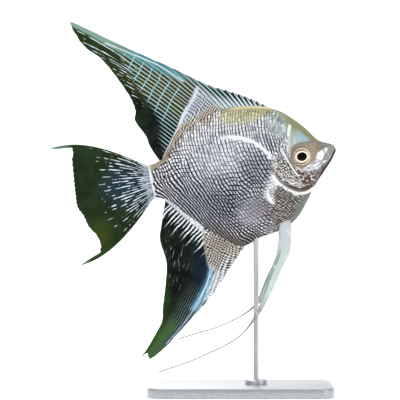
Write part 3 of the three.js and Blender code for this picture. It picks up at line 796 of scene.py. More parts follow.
def pigment_strengths(where):
    x, z = where[:, 0], where[:, 1]
    from_belly = BELLY.near(where)[0]
    face = patch(where, BARE_FACE, 1.5)
    olive = OLIVE_RIDGE.near(where)
    olive_width = np.interp(olive[2], [0, 0.3, 0.62, 0.85, 1], [1.6, 3.4, 6.6, 5.0, 3.2])
    cover = patch(where, GILL_COVER, 1.0) * step(5, -3, z)
    from_eye = np.hypot(x - EYE["x"], z - EYE["z"])
    found = {
        "lavender": 0.40 * blob(where, -8, -6, 26, 24, 0.5),
        "slate": (0.5 * blob(where, 6.5, -3.0, 8.0, 8.0, 0.8)
                  + 0.42 * blob(where, -20, -18, 22, 14, 0.8)),
        "mauve": 0.75 * blob(where, 6.5, -23.0, 7.5, 6.5, 0.8),
        "umber": most(
            0.95 * patch(where, BREAST, 2.4), 0.9 * cover, 0.75 * patch(where, STALK_TOP, 1.2),
            0.75 * step(6.0, 2.0, from_belly) * step(-28, -14, x) * step(8, -3, x),
            0.35 * step(1.5, 8.5, z) * step(-36, -42, x)),
        "gold": 0.65 * step(3.8, 1.8, SHEATH_LINE.near(where)[0]),
        "olive": most(
            step(olive_width + 1.6, olive_width - 1.2, olive[0]),
            0.85 * face * step(6.0, 10, z) * step(21, 25, x)),
        "straw": step(6.5, 3.5, olive[0]) * step(0.0, 0.15, olive[2]) * step(0.48, 0.30, olive[2]),
        "lime": 0.4 * blob(where, 4.7, 25.4, 11.5, 4.5, 0.5) * step(2.2, 3.6, olive[0]),
        "aqua": most(
            0.75 * blob(where, 20.8, 16.0, 4.8, 8.0, 0.6) * (1 - 0.5 * face),
            0.45 * face * blob(where, 26.5, 8.0, 3.5, 3.0, 0.6)),
        "sage": 0.8 * face * blob(where, 27.0, 7.0, 5.0, 6.0, 0.5),
        "temple_blue": 0.85 * patch(where, TEMPLE, 0.9) * spread(step(13, 7.5, z), 0.6, 1),
        "grey_green": 0.85 * most(patch(where, THROAT, 1.2), blob(where, *PELVIC_SPOT)),
        "tan": face * blob(where, 32.0, -0.9, 11.0, 7.0, 0.2),
        "snout_grey": face * most(
            step(36.5, 41.5, x + 0.25 * z), 0.5 * BROW_FOLD.stroke(where, 0.9, 1.2)),
        "lip_teal": patch(where, UPPER_LIP_TOP, 0.6),
        "white": most(
            *(strength * patch(where, outline, soft) for strength, soft, outline in WHITE_PATCHES),
            strongest(WHITE_STROKES, where), 0.7 * blob(where, 12.6, -11.5, 2.6, 3.2, 0.7),
            0.95 * LATERAL_LINE.stroke(where, 0.9, 0.6) * step(-9.5, -2, x),
            0.7 * step(-45.2, -46.2, x)),
        # Maroon is painted shade under the chin, in the jaw's groove and round the eye's socket.
        "maroon": most(
            strongest(MAROON_AND_SHADE_STROKES, where), 0.95 * step(1.0, 0.5, from_belly) * step(33.0, 36.0, x),
            0.6 * JAW_FOLD.stroke(where, 0.18, 0.3) * step(-2.6, -3.6, z),
            0.55 * bell(from_eye - 5.2, 0.3) * step(32, 27, x - 0.5 * z),
            0.3 * blob(where, -33.3, 14.6, 5, 3.5, 0.6)),
    }
    return {name: np.clip(value, 0, 1) for name, value in found.items()}


# %% [markdown]
# The net on the flank is dark pigment round each scale's edge. Its ink is darkest low on the
# flank, and the lines that run round the body are stronger than those along it. Small scales
# have a pale spot in the middle. Where the skin shows between scales, it is as dark as the net.

# %% Draw the net between the scales


def ink_strengths(where):
    """How wide and how dark the lines between the scales are, from 0 to 1."""
    x, z = where[:, 0], where[:, 1]
    low = step(8, -14, z + 0.35 * (x + 20))
    nape = blob(where, 22.5, 17, 6, 9, 0.5) - blob(where, 17.5, 6.0, 5, 6, 0.6)
    pores = LATERAL_LINE.stroke(where, 0.6, 0.4) * step(-9, -4, x)
    front = 0.22 * blob(where, 8, -4, 9, 9, 0.7)
    middle = (0.12 * blob(where, -8, -2, 16, 13, 0.8) + 0.26 * blob(where, 7, -24, 9, 9, 0.8)
              + 0.6 * blob(where, *PELVIC_SPOT))
    return np.clip(0.53 + front + 0.52 * low - 0.30 * nape - middle - pores, 0, 1.1)


def cross_strengths(where):
    """How dark the lines along the body are; the lines round it are always dark."""
    lattice = most(blob(where, 4, -16, 22, 22, 0.4), blob(where, -35, 8, 12, 9, 0.5))
    pores = LATERAL_LINE.stroke(where, 0.6, 0.4)
    return (0.45 + 0.55 * lattice) * (1 - pores)


def speckle_strengths(where):
    """How large the pale spot in the middle of each small scale is."""
    cover = patch(where, GILL_COVER, 1.0) * step(5, -1, where[:, 1])
    behind_breast = 0.6 * blob(where, 0.5, -23.8, 7.5, 5.5, 0.6)
    return most(cover, behind_breast, 0.76 * patch(where, BREAST, 2.0))


def gap_strengths(where):
    """How dark the skin is where it shows between the scales."""
    inked = step(0, 1, 1.7 * ink_strengths(where)) * cross_strengths(where)
    return inked * (1 - 0.6 * speckle_strengths(where)) * (1 - bare_skin(where))


# %% [markdown]
# All these strengths are now worked out at each vertex of the skin. The cheek is marbled: its
# pattern runs in lanes under the eye, so the skin also carries how far each point is across
# and along the lanes.

# %% Paint the skin


def side_view_of(mesh):
    """Where each vertex is in the fish's side view, in mm."""
    room = np.zeros(len(mesh.vertices) * 3)
    mesh.vertices.foreach_get("co", room)
    x, _, z = (room.reshape(-1, 3) / MM - FISH_AT).T
    c, s = math.cos(PITCH), math.sin(PITCH)
    return np.stack([x * c + z * s, z * c - x * s], 1)


def marble_amounts(where):
    """Where the cheek is marbled, and how far a point is off its lanes and along them."""
    distance, side, share = CHEEK_LANES.near(where)
    return {"marble": patch(where, CHEEK, 1.0), "lane": distance * side, "lap": share * 20,
            "fold": patch(where, CHEEK_SILVER, 0.8)}


def skin_amounts(where):
    own = {"bare": bare_skin(where), "gap": gap_strengths(where)}
    return pigment_strengths(where) | own | marble_amounts(where)


set_amounts(skin.data, in_batches(skin_amounts, side_view_of(skin.data)))
print("numbers at each vertex of the skin:", len(skin.data.attributes))

# %% [markdown]
# The skin's finish lays the pigments on silver, then the marbling, then the net.

# %% Mix the skin's finish
NAVY_INK, BROWN_INK, LIME_INK = "1f1c29", "2a2019", "8f8a2c"


def lay_pigments(finish):
    for name, paint in PIGMENTS.items():
        finish.lay(paint, finish.amount(name))


def ink_colour(finish):
    brown = finish.amount("umber") + finish.amount("gold")
    ink = finish.mix(colour(NAVY_INK), colour(BROWN_INK), brown)
    return finish.mix(ink, colour(LIME_INK), finish.amount("lime").rise(0.0, 0.3) * 0.9)


def skin_finish():
    made = Finish("fish_skin")
    mottle = made.noise(900, 3)
    cloud = made.noise(220, 3)
    lane, lap, maroon = [made.amount(name) for name in ("lane", "lap", "maroon")]
    marble = made.noise(1.0, 3.0, made.vector(lane * 1.5, lap * 0.45 + 0.6 * cloud))
    curl = abs(made.noise(330, 2.5) - 0.5)
    streak = made.noise(1.0, 2.0, made.vector(lane * 3.0, lap * 0.3))
    on_cheek = made.amount("marble") * (1 - maroon)
    by_jaw = lap.rise(8, 12) * on_cheek
    made.lay(made.mix(colour(SILVER), colour("b4b6bd"), cloud.rise(0.35, 0.7)), 1)
    lay_pigments(made)
    made.lay("6f605c", on_cheek.rise(0.5, 0.9) * 0.85)
    made.lay("432b22", marble.rise(0.43, 0.50) * on_cheek * 0.95)
    made.lay("efe9e4", curl.rise(0.026, 0.010) * lap.rise(12, 8) * on_cheek * 0.85)
    made.lay("a094a2", streak.rise(0.48, 0.53) * by_jaw * 0.85)
    made.lay("2b1a16", streak.rise(0.43, 0.38) * by_jaw * 0.8)
    made.lay("5f6c8a", streak.rise(0.49, 0.54) * made.amount("fold") * 0.9)
    made.lay("58544c", mottle.rise(0.58, 0.8) * 0.25)
    made.lay("ffffff", mottle.rise(0.40, 0.25) * 0.2)
    made.lay(ink_colour(made), made.amount("gap") * 0.95)
    return made.surface(
        base_color=made.shown, roughness=0.34 + 0.15 * mottle + 0.3 * maroon,
        specular_ior_level=0.12, coat_weight=0.2 * made.amount("bare") * (1 - maroon),
        coat_roughness=0.15, normal=made.bump(made.noise(2600, 2) + cloud, 0.25, 0.00012))


finish_piece(
    skin, skin_finish(),
    ["head", "lower_jaw", "gill_cover_right", "gill_cover_left", "trunk", "tail_stalk"])

# %% [markdown]
# ## Scales
# Each scale is a thin plate whose front half is tucked under the one before it, like a roof
# tile. One plate is modelled: a closed sheet a tenth of a millimetre thick, crowned, and cut
# round at its free edge. It is then repeated by the hundred on a lattice over the flank map.
# The lattice is warped so that its columns run parallel to the gill cover's edge and its rows
# follow the back, and since every vertex goes through the warp, the plates fit each other all
# over the body.

# %% Model one scale
PLATE_THICKNESS, PLATE_RISE, PLATE_CROWN = 0.11, 0.30, 0.06
PLATE_ROOT = -0.75
PLATE_COLUMNS = [PLATE_ROOT, -0.1, 0.25, 0.55, 0.8, 1]
TUCKED_WIDTH, FREE_WIDTH = 0.90, 0.96
FREE_ROUNDING = 0.13


def plate_place(u, v, side):
    """A scale on the lattice: x from -0.75 tucked in to 1 free, y from -0.5 to 0.5, z in mm."""
    along = np.interp(u, np.linspace(0, 1, len(PLATE_COLUMNS)), PLATE_COLUMNS)
    across = (v - 0.5) * 2
    free = step(0.2, 1.0, along)
    along = along - FREE_ROUNDING * free * np.abs(across) ** 2.2
    rise = PLATE_RISE * (along - PLATE_ROOT) / (1 - PLATE_ROOT) - PLATE_CROWN * across**2
    width = 0.5 * spread(free, TUCKED_WIDTH, FREE_WIDTH)
    return np.stack([along, across * width, rise - PLATE_THICKNESS * (side > 0)], 1)


plate, plate_places = closed_sheet(len(PLATE_COLUMNS) - 1, 4, plate_place)
plate_points = np.array([v.co for v in plate.verts])
plate_faces = np.array([[v.index for v in f.verts] for f in plate.faces])
plate.free()
print("one scale:", len(plate_points), "vertices,", len(plate_faces), "faces")

# %% [markdown]
# Now the coat. `lay_coat` takes the lattice places of many plates and a function that turns
# lattice places into map coordinates. It writes all plates into one mesh, with two UV maps:
# `Scale` holds the place within the plate, for the dark rim, and `OFBake` gives each plate a
# small patch at its root's place on the unwrapped flank. Each plate is painted with the
# pigments found at its middle. Straw and gold tint only some plates, by a seeded chance.

# %% Lay a coat of scales
BAKE_PATCH = 0.003
BAKE_SPAN_MM = 100.0
MIDDLE, FREE_EDGE = (0.3, 0), (0.9, 0)


def chart_place(along, girth):
    """Map coordinates as a place on the unwrapped flank, from 0 to 1."""
    return np.stack([0.02 + along / BAKE_SPAN_MM * 0.96, 0.5 + girth / BAKE_SPAN_MM], 1)


def lattice_places(columns, rows):
    i, j = np.meshgrid(np.arange(*columns, dtype=float), np.arange(*rows, dtype=float))
    return np.stack([i.ravel(), j.ravel()], 1)


def scale_strengths(where):
    return pigment_strengths(where) | {
        "ink": ink_strengths(where), "cross": cross_strengths(where),
        "speckle": speckle_strengths(where)}


def lay_coat(name, roots, mapping, side, lift_scale=1.0, above=0.0):
    """roots are lattice places (column, row); mapping gives their map coordinates."""
    count, corners = len(roots), len(plate_points)
    lattice = roots[:, None] + plate_points[None, :, :2]
    points, out = on_flank(*mapping(lattice.reshape(-1, 2)))
    raised = np.tile(plate_points[:, 2] * lift_scale, count)[:, None]
    where = points[:, [0, 2]]
    raised[:, 0] += in_batches(relief, where) - COAT_DEPTH + above
    points = points + out * raised
    points[:, 1] *= side
    faces = plate_faces[:, ::side]
    every = (faces[None] + (np.arange(count) * corners)[:, None, None]).reshape(-1, 4)
    mesh = bpy.data.meshes.new(name)
    mesh.from_pydata(to_room(points).tolist(), [], every.tolist())
    within = np.tile(plate_places, (count, 1))
    middle = chart_place(*mapping(roots))
    held = np.repeat(middle, corners, 0) + (within - 0.5) * BAKE_PATCH
    for label, places in (("Scale", within), ("OFBake", held)):
        mesh.uv_layers.new(name=label).data.foreach_set("uv", places[every.ravel()].ravel())
    centre = on_flank(*mapping(roots + MIDDLE))[0][:, [0, 2]]
    strengths = in_batches(scale_strengths, centre)
    rng = np.random.default_rng(count)
    strengths["chance"] = rng.random(count)
    for label in ("straw", "gold"):
        strengths[label] = strengths[label] * step(0.35, 0.6, rng.random(count))
    set_amounts(mesh, {label: np.repeat(values, corners) for label, values in strengths.items()})
    return finish_piece(make_object(name, mesh), scale_material)


# %% [markdown]
# The plate's finish reads the `Scale` map: the free edge and both sides are dark with pigment,
# the middle is silver and slightly metallic, and fine growth rings run across it.

# %% Mix the scales' finish


def scale_finish():
    made = Finish("silver_scales")
    along, across = made.sheet("Scale")
    x, _, z = made.place()
    chance, ink, speckle, white, cross, umber, aqua = [
        made.amount(name) for name in ("chance", "ink", "speckle", "white", "cross", "umber", "aqua")]
    wobble = made.noise(1400, 2) - 0.5
    patchy = made.noise(260, 2).rise(0.3, 0.6)
    cloud = made.noise(420, 2) + 0.3 * (chance - 0.5)
    strands = made.noise(1.0, 2.0, made.vector(x * 1300 - z * 330, z * 230))
    on_nape = aqua.rise(0.15, 0.5)

    edge = 0.92 - 0.42 * ink + 0.12 * wobble
    rear = along.rise(edge - 0.06, edge + 0.02)
    width = 0.06 + 0.26 * ink * cross
    sides = (abs(across - 0.5) * 2 + 0.15 * wobble).rise(0.98 - width, 1.04 - width)
    rim = rear.most(sides * (0.35 + 0.75 * patchy * cross))
    rim = rim * (1.7 * ink).rise(0.0, 1.0) * (1 - 0.6 * speckle) * (1 - 0.7 * white)
    from_spot = abs(along - 0.64) * 1.3 + abs(across - 0.5) + 0.25 * wobble
    spot = speckle.rise(0.2, 1.3) * (0.44 + 0.50 * chance) - from_spot

    made.lay(made.mix(colour(SILVER), colour("fafbfc"), cloud.rise(0.45, 0.62)), 1)
    lay_pigments(made)
    made.lay("858c9c", cloud.rise(0.46, 0.30) * (0.55 - 0.5 * white))
    made.lay("738488", strands.rise(0.52, 0.58) * on_nape * 0.75)
    made.lay("eef4f5", strands.rise(0.46, 0.40) * on_nape * 0.75)
    made.lay("392e25", umber.rise(0.2, 0.9) * speckle.rise(0.1, 0.5) * (0.82 - 0.75 * white))
    made.lay("ecebe8", spot.rise(-0.04, 0.06) * 0.95)
    made.lay(ink_colour(made), rim)
    rings = (along * 9 + 0.3 * wobble).fraction()
    return made.surface(
        base_color=made.shown, roughness=0.34 + 0.2 * rim, metallic=0.2 * (1 - rim),
        specular_ior_level=0.2, coat_weight=0.2 * (1 - rim), coat_roughness=0.2,
        normal=made.bump(rings, 0.15, 0.00005))


scale_material = scale_finish()

# %% [markdown]
# The trunk's lattice. Columns are counted back from the snout, rows up from the middle. `LEAN`
# slants the columns like the gill cover's edge, `ARCH` bows the rows along with the back, and
# `ripple` makes both a little uneven. Above the lateral line the scales are smaller, so the
# same lattice is laid there with finer steps.

# %% Lay the trunk's scales
COLUMN, ROW = 1.68, 2.20
FINE_COLUMN, FINE_ROW = 1.42, 1.95
UPPER_FLANK = [
    (15.6, 1.0), (13.1, 4.4), (11.1, 7.3), (8.0, 10.1), (3.4, 13.0), (-2.3, 14.9), (-8.2, 15.8),
    (-14.0, 14.6), (-22.0, 11.5), (-32.0, 6.5), (-39.0, 1.0), (-47.0, -1.0), (-47.0, 12.0),
    (-30.0, 24.0), (-10.0, 34.0), (20.0, 34.0), (26.0, 20.0), (25.0, 2.0)]
SNOUT_X = 47.3
LEAN = (0.325, -0.0071, -0.00008)
LEAN_MIDDLE = -3.0
ARCH, ARCH_X = 0.0033, -12.0
BELLY_CLOSENESS = 0.0045


def trunk_map(lattice, column=COLUMN, row=ROW):
    """Lattice places as map coordinates: mm along the body and mm up from its middle."""
    up = lattice[:, 1] * row
    high = up + LEAN_MIDDLE
    along = lattice[:, 0] * column + LEAN[0] * high + LEAN[1] * high**2 + LEAN[2] * high**3
    x = SNOUT_X - along
    bow = np.clip(1 + (high + 5) * 0.115, -1.3, 1.3)
    closer = up * (1 + BELLY_CLOSENESS * np.minimum(up, 0))
    girth = closer - ARCH * (x - ARCH_X) ** 2 * bow + 1.0
    return (along + 0.40 * ripple(along, girth, 11, 1) + 0.13 * ripple(along, girth, 4, 2),
            girth + 0.50 * ripple(along, girth, 10, 3) + 0.20 * ripple(along, girth, 4, 4))


def upper_map(lattice):
    return trunk_map(lattice, FINE_COLUMN, FINE_ROW)


def trunk_roots(mapping, is_upper):
    roots = lattice_places((2, 100), (-38, 44))
    along, girth = mapping(roots + MIDDLE)
    on_body = (along > 2) & (along < BODY_LENGTH - 2.2) & (np.abs(girth) < half_girth(along) + 0.3)
    view = on_flank(along, girth)[0][:, [0, 2]]
    taken = bare_skin(view) + patch(view, GILL_COVER, 0.1) + patch(view, BREAST, 0.1)
    upper = patch(view, UPPER_FLANK, 1.6)
    here = upper > 0.25 if is_upper else upper < 0.75
    return roots[on_body & (taken < 0.5) & here]


for part, mapping, lift in (("trunk", trunk_map, 1.0), ("upper", upper_map, 0.8)):
    places = trunk_roots(mapping, part == "upper")
    for label, side in SIDES.items():
        lay_coat(f"{part}_scales_{label}", places, mapping, side, lift)
    print(part, "scales on each flank:", len(places))

# %% [markdown]
# The lateral line is a sense organ: a row of pale scales with a pore each, which arches over
# the flank. Its plates lie on the others, along a line of the side view.

# %% Lay the lateral line
PORE_COLUMN, PORE_ROW = 1.3, 1.7
PORE_STATIONS = 8
PORE_LIFT = 0.16
lateral_length = np.linalg.norm(np.diff(LATERAL_LINE.way, axis=0), axis=1).sum()


def flank_place(view):
    """The map coordinates nearest to each point of the side view."""
    flat = chart_points[..., [0, 2]].reshape(-1, 2)
    nearest = np.array([((flat - point) ** 2).sum(1).argmin() for point in view])
    column, row = np.divmod(nearest, CHART_ROWS + 1)
    half = chart_half_girth[column]
    return chart_along[column], spread(row / CHART_ROWS, -half, half)


lateral_at = row_spline(np.stack(flank_place(LATERAL_LINE.way[::-PORE_STATIONS]), 1))


def lateral_map(lattice):
    share = lattice[:, 0] * PORE_COLUMN / lateral_length
    here, ahead = lateral_at(share), lateral_at(share + 0.02) - lateral_at(share - 0.02)
    along, girth = (ahead / np.linalg.norm(ahead, axis=1, keepdims=True)).T
    off = lattice[:, 1] * PORE_ROW
    return here[:, 0] - off * girth, here[:, 1] + off * along


pore_places = lattice_places((1, lateral_length / PORE_COLUMN - 2), (0, 1))
for label, side in SIDES.items():
    lay_coat(f"lateral_scales_{label}", pore_places, lateral_map, side, above=PORE_LIFT)
print("scales in the lateral line:", len(pore_places))

# %% [markdown]
# The gill cover, cheek and breast have small scales, on a finer lattice.

# %% Lay the small scales
SMALL_COLUMN, SMALL_ROW, SMALL_LIFT = 1.35, 1.4, 0.55


def small_map(lattice):
    along, girth = trunk_map(lattice, SMALL_COLUMN, SMALL_ROW)
    return (along + 0.35 * ripple(along, girth, 3.5, 5), girth + 0.35 * ripple(along, girth, 3.5, 6))


def small_roots():
    roots = lattice_places((0, 60), (-38, 20))
    roots[:, 1] += 0.5 * (roots[:, 0] % 2)
    along, girth = small_map(roots + MIDDLE)
    on_body = (along > 1) & (np.abs(girth) < half_girth(along))
    view = on_flank(along, girth)[0][:, [0, 2]]
    free_edge = on_flank(*small_map(roots + FREE_EDGE))[0][:, [0, 2]]
    bare = most(bare_skin(view), bare_skin(free_edge))
    small = patch(view, GILL_COVER, 0.1) + patch(view, BREAST, 0.1) - patch(view, CHEEK, 0.1)
    return roots[on_body & (small > 0.5) & (bare < 0.5)]


small_places = small_roots()
for label, side in SIDES.items():
    lay_coat(f"small_scales_{label}", small_places, small_map, side, SMALL_LIFT)
print("small scales on each side:", len(small_places))

# %% [markdown]
# ## Fins
# A fin is a thin membrane held open by rays. Spines, which are stiff, come first; behind them
# come soft rays that split in two towards the margin. A fin is modelled as a closed sheet: two
# grids, one for each face, joined round the rim. Their first coordinate runs across the rays
# and their second from root to tip, so a ray is a fold of the grid itself, and stands out on
# both faces. The table of key rays follows the one that made the solids, so the outlines agree.
#
# Each ray runs from its root to its tip, with a bend that is greatest past its middle. The
# sheet thins from root to edge and sways a little out of the fish's middle plane. The rays
# stand evenly apart where a gauge line crosses them, at a share of their length, spines wider
# apart than soft rays, and are counted from the front or the top.

# %% Set out the fins' rays
FIN_SINK = 1.8
BEND_SKEW = 1.3
BEND_PEAK_AT = BEND_SKEW / (1 + BEND_SKEW)
BEND_PEAK = BEND_PEAK_AT**BEND_SKEW * (1 - BEND_PEAK_AT)
MEMBRANE_SHARE = 0.72
GAUGE_REACH = 0.40
SPLIT_FROM, SPLIT_TO = 0.72, 0.90
FREE_POINT_MM, SOFT_NOTCH = 1.8, 0.008
CORNER_SHARE = 0.1
RAY_WIDTH, BRANCH_OFF, BRANCH_WIDTH = 0.34, 0.42, 0.26
WEB_SHARE, RIDGE_SHARE = 0.55, 0.75
RIM_SHARE, RIM_STEEPNESS = 0.35, 12

DORSAL = dict(
    keys=[  # root x, root z, tip x, tip z, bend
        (18.4, 26.4, 16.9, 28.0, 0.0), (13.8, 27.9, 11.4, 31.9, 0.1), (9.2, 28.7, 5.2, 35.7, 0.2),
        (4.8, 29.4, -1.6, 39.2, 0.4), (0.8, 30.0, -9.2, 42.9, 0.7), (-3.0, 30.0, -17.8, 48.7, 1.0),
        (-6.2, 29.8, -28.6, 56.4, 1.3), (-8.8, 29.4, -47.4, 68.9, 1.7),
        (-10.6, 28.9, -66.4, 82.4, 2.6), (-12.0, 28.5, -72.5, 86.0, 2.8),
        (-13.6, 28.0, -71.3, 80.3, 2.9), (-15.6, 27.2, -67.3, 72.2, 2.9),
        (-18.0, 26.2, -60.8, 65.6, 2.8), (-21.0, 24.7, -55.4, 56.6, 2.4),
        (-24.6, 22.8, -49.7, 44.3, 2.0), (-28.6, 20.1, -48.0, 36.6, 1.6),
        (-32.0, 17.4, -49.0, 31.6, 1.1), (-35.4, 14.3, -45.0, 23.2, 0.6),
        (-37.9, 12.0, -44.2, 18.8, 0.2), (-39.6, 10.2, -42.4, 13.9, 0.0)],
    sink=(0, -FIN_SINK), root=2.4, edge=0.55, sway=2.2, waves=1.6, phase=0.4,
    spines=14, soft=21, spine_end=0.36)
ANAL = dict(
    keys=[  # root x, root z, tip x, tip z, bend
        (-5.2, -37.6, -5.9, -39.9, 0.0), (-8.5, -37.1, -15.4, -49.6, -0.2),
        (-11.0, -36.4, -26.5, -61.4, -0.6), (-13.5, -35.3, -38.8, -70.8, -1.4),
        (-16.0, -33.9, -52.4, -81.3, -2.4), (-18.5, -32.0, -62.0, -86.7, -3.5),
        (-20.5, -30.4, -63.4, -83.7, -4.4), (-22.5, -28.8, -66.7, -85.1, -5.2),
        (-25.0, -26.4, -63.1, -81.6, -5.3), (-27.5, -23.9, -58.0, -75.6, -4.8),
        (-30.0, -21.2, -53.3, -69.4, -4.2), (-32.0, -19.0, -51.6, -62.4, -2.9),
        (-33.8, -17.0, -48.0, -50.4, -1.9), (-35.5, -15.0, -46.0, -40.6, -1.2),
        (-37.2, -13.0, -47.2, -29.2, -0.7), (-38.8, -11.5, -45.3, -22.2, -0.3),
        (-40.5, -10.2, -42.6, -14.4, 0.0)],
    sink=(0, FIN_SINK), root=2.4, edge=0.55, sway=2.2, waves=1.8, phase=2.9,
    spines=6, soft=28, spine_end=0.16)
TAIL = dict(
    keys=[  # root x, root z, tip x, tip z, bend
        (-46.8, 7.4, -93.9, 25.4, 5.4), (-46.8, 6.0, -83.2, 22.6, 3.2),
        (-46.8, 4.9, -83.8, 17.8, 2.6), (-46.8, 3.6, -84.6, 7.8, 1.2),
        (-46.8, 1.2, -85.1, 0.6, 0.2), (-46.8, -1.4, -85.1, -5.8, -0.6),
        (-46.8, -3.4, -82.9, -10.4, -1.4), (-46.8, -4.8, -81.1, -16.4, -2.4),
        (-46.8, -5.3, -77.6, -22.2, -2.6), (-46.8, -6.2, -77.7, -28.8, -3.0),
        (-46.8, -7.2, -88.9, -34.7, -5.4)],
    sink=(FIN_SINK, 0), root=2.6, edge=0.55, sway=3.0, waves=1.3, phase=0.3,
    spines=0, soft=22, spine_end=0.0, corners=(-82.6, -77.4))
print("rays:", {name: fin["spines"] + fin["soft"]
                for name, fin in (("dorsal", DORSAL), ("anal", ANAL), ("tail", TAIL))})

# %% [markdown]
# `fan_point` finds a place on a fan from two shares: s across the key rays, and k from root to
# tip. `ray_count` spaces the rays evenly, `ray_ridge` swells the sheet where a ray runs, and
# `fin_reach` cuts the margin: spines end in points, with notches of web between.

# %% Bend a fan of rays


def fan_point(fin, s, k):
    root_x, root_z, tip_x, tip_z, rise = np.moveaxis(row_spline(fin["keys"])(s), -1, 0)
    start_x, start_z = root_x + fin["sink"][0], root_z + fin["sink"][1]
    bend_here = rise * k**BEND_SKEW * (1 - k) / BEND_PEAK
    sway = fin["sway"] * k**2 * np.sin(fin["waves"] * math.pi * s + fin["phase"])
    return np.stack([spread(k, start_x, tip_x), sway, spread(k, start_z, tip_z) + bend_here], -1)


def ray_count(fin):
    """How many rays come before each share s across the key rays."""
    s = np.linspace(0, 1, 400)
    gauge, beyond = [fan_point(fin, s, k + 0 * s)[:, [0, 2]] for k in (GAUGE_REACH, GAUGE_REACH + 0.02)]
    along, across = (beyond - gauge)[:-1], np.diff(gauge, axis=0)
    apart = along[:, 0] * across[:, 1] - along[:, 1] * across[:, 0]
    gone = np.concatenate([[0], np.cumsum(np.abs(apart) / np.linalg.norm(along, axis=1))])
    spines_end = np.interp(fin["spine_end"], s, gone)
    total = fin["spines"] + fin["soft"]
    return np.interp(gone, [0, spines_end, gone[-1]], [0, fin["spines"], total]), s


def ray_length(fin, s):
    tip, root = fan_point(fin, s, 1 + 0 * s), fan_point(fin, s, 0 * s)
    return np.linalg.norm(tip - root, axis=1)


def ray_ridge(number, k, fin):
    """How much the sheet thickens at a place: 1 on a ray, 0 on the membrane between."""
    off = np.abs(number % 1 - 0.5) * 2
    share = step(SPLIT_FROM, SPLIT_TO, k) * (number > fin["spines"])
    return bell(off, RAY_WIDTH) * (1 - share) + bell(off - BRANCH_OFF, BRANCH_WIDTH) * share


def fin_reach(number, s, k, fin):
    """Spines end in free points, and the tail's outermost rays run on past its corners."""
    off = np.abs(number % 1 - 0.5) * 2
    spine_notch = np.clip(FREE_POINT_MM / ray_length(fin, s), 0.01, 0.4)
    reach = 1 - np.where(number < fin["spines"], spine_notch, SOFT_NOTCH) * off**1.5
    if "corners" in fin:
        root_x, tip_x = fin["keys"][0][0], row_spline(fin["keys"])(s)[:, 2]
        corner = np.where(s < 0.5, *fin["corners"])
        outer = (s < CORNER_SHARE) | (s > 1 - CORNER_SHARE)
        shorter = np.where(outer, (corner - root_x) / (tip_x - root_x), 1)
        inside = step(0.26, 0.44, np.minimum(number, fin["spines"] + fin["soft"] - number))
        reach = reach * spread(inside, 1, np.minimum(shorter, 1))
    return k * spread(k**2, 1, reach)


def fin_sheet(fin, columns_per_ray, rows):
    total = fin["spines"] + fin["soft"]
    count, shares = ray_count(fin)

    def place(u, v, side):
        number = u * total
        s = np.interp(number, count, shares)
        k = fin_reach(number, s, v, fin)
        points = fan_point(fin, s, k)
        half = spread(np.sqrt(k), fin["root"], fin["edge"]) / 2 * MEMBRANE_SHARE
        rim = np.minimum(1, (1 - v) * RIM_STEEPNESS) * np.minimum(1, np.minimum(u, 1 - u) * total * 2)
        taper = spread(np.sqrt(np.clip(rim, 0, 1)), RIM_SHARE, 1)
        points[:, 1] += side * half * (WEB_SHARE + RIDGE_SHARE * ray_ridge(number, v, fin)) * taper
        return to_room(points)

    bm, sheet = closed_sheet(total * columns_per_ray, rows, place)
    number, v = sheet[:, 0] * total, sheet[:, 1]
    return bm, number, v, (1 - v) * ray_length(fin, np.interp(number, count, shares))


# %% [markdown]
# Fin colours lie in zones: a pale sheath at the root with rows of tiny scales, a coloured
# middle in which the rays shine, and a dark margin. `FIN_PAINTS` names the paints, and for
# each fin one function says where they lie. `FIN_MARKS` names further amounts. Seven say how
# strongly a kind of mark shows: rays; cross-bars; dashes, which are broken white strokes;
# stripes between the spines; mesh, the outlines of the sheath's scales; its tanned tint; and
# comb, strokes that start at a line. Lane, band and weave count the strokes, rows and columns.

# %% Choose the fins' paints
FIN_PAINTS = {
    "gold": "4a4716",
    "rust": "5c3320",
    "moss": "35561f",
    "navy": "1f3350",
    "blue": "5aa0c8",
    "teal": "46a0a6",
    "mist": "86a99a",
    "sheath": "cfd8e2",
    "cream": "dccdb6",
    "milk": "eef3f8",
}
FIN_GROUND = "0b110b"
FIN_MARKS = ["rays", "bars", "dashes", "stripes", "mesh", "tanned", "comb", "lane", "band", "weave"]
print("paints of the fins:", ", ".join(FIN_PAINTS))

# %% [markdown]
# The dorsal fin: a sheath of small scales behind the spines, light rays and cross-bars over
# olive webs, a teal band along the front edge, and a black hind part with white dashes.

# %% Paint the dorsal fin
DORSAL_RAY_BASE = Line((-4.0, 49.5), (-10.4, 46.5), (-15.9, 43.0), (-18.8, 38.6), (-24.6, 31.8),
                       (-29.1, 24.5), (-33.3, 18.7), (-38.0, 12.1))
DORSAL_LEAD = Line((-73.0, 86.5), (-61.2, 78.4), (-49.9, 70.4), (-40.0, 64.0), (-29.5, 56.6),
                   (-22.0, 51.4))
# A painted highlight: a white stroke along the front of the fin.
DORSAL_GLEAM = Line((-57.0, 72.6), (-44.0, 64.4), (-32.0, 56.4), (-22.0, 47.0))


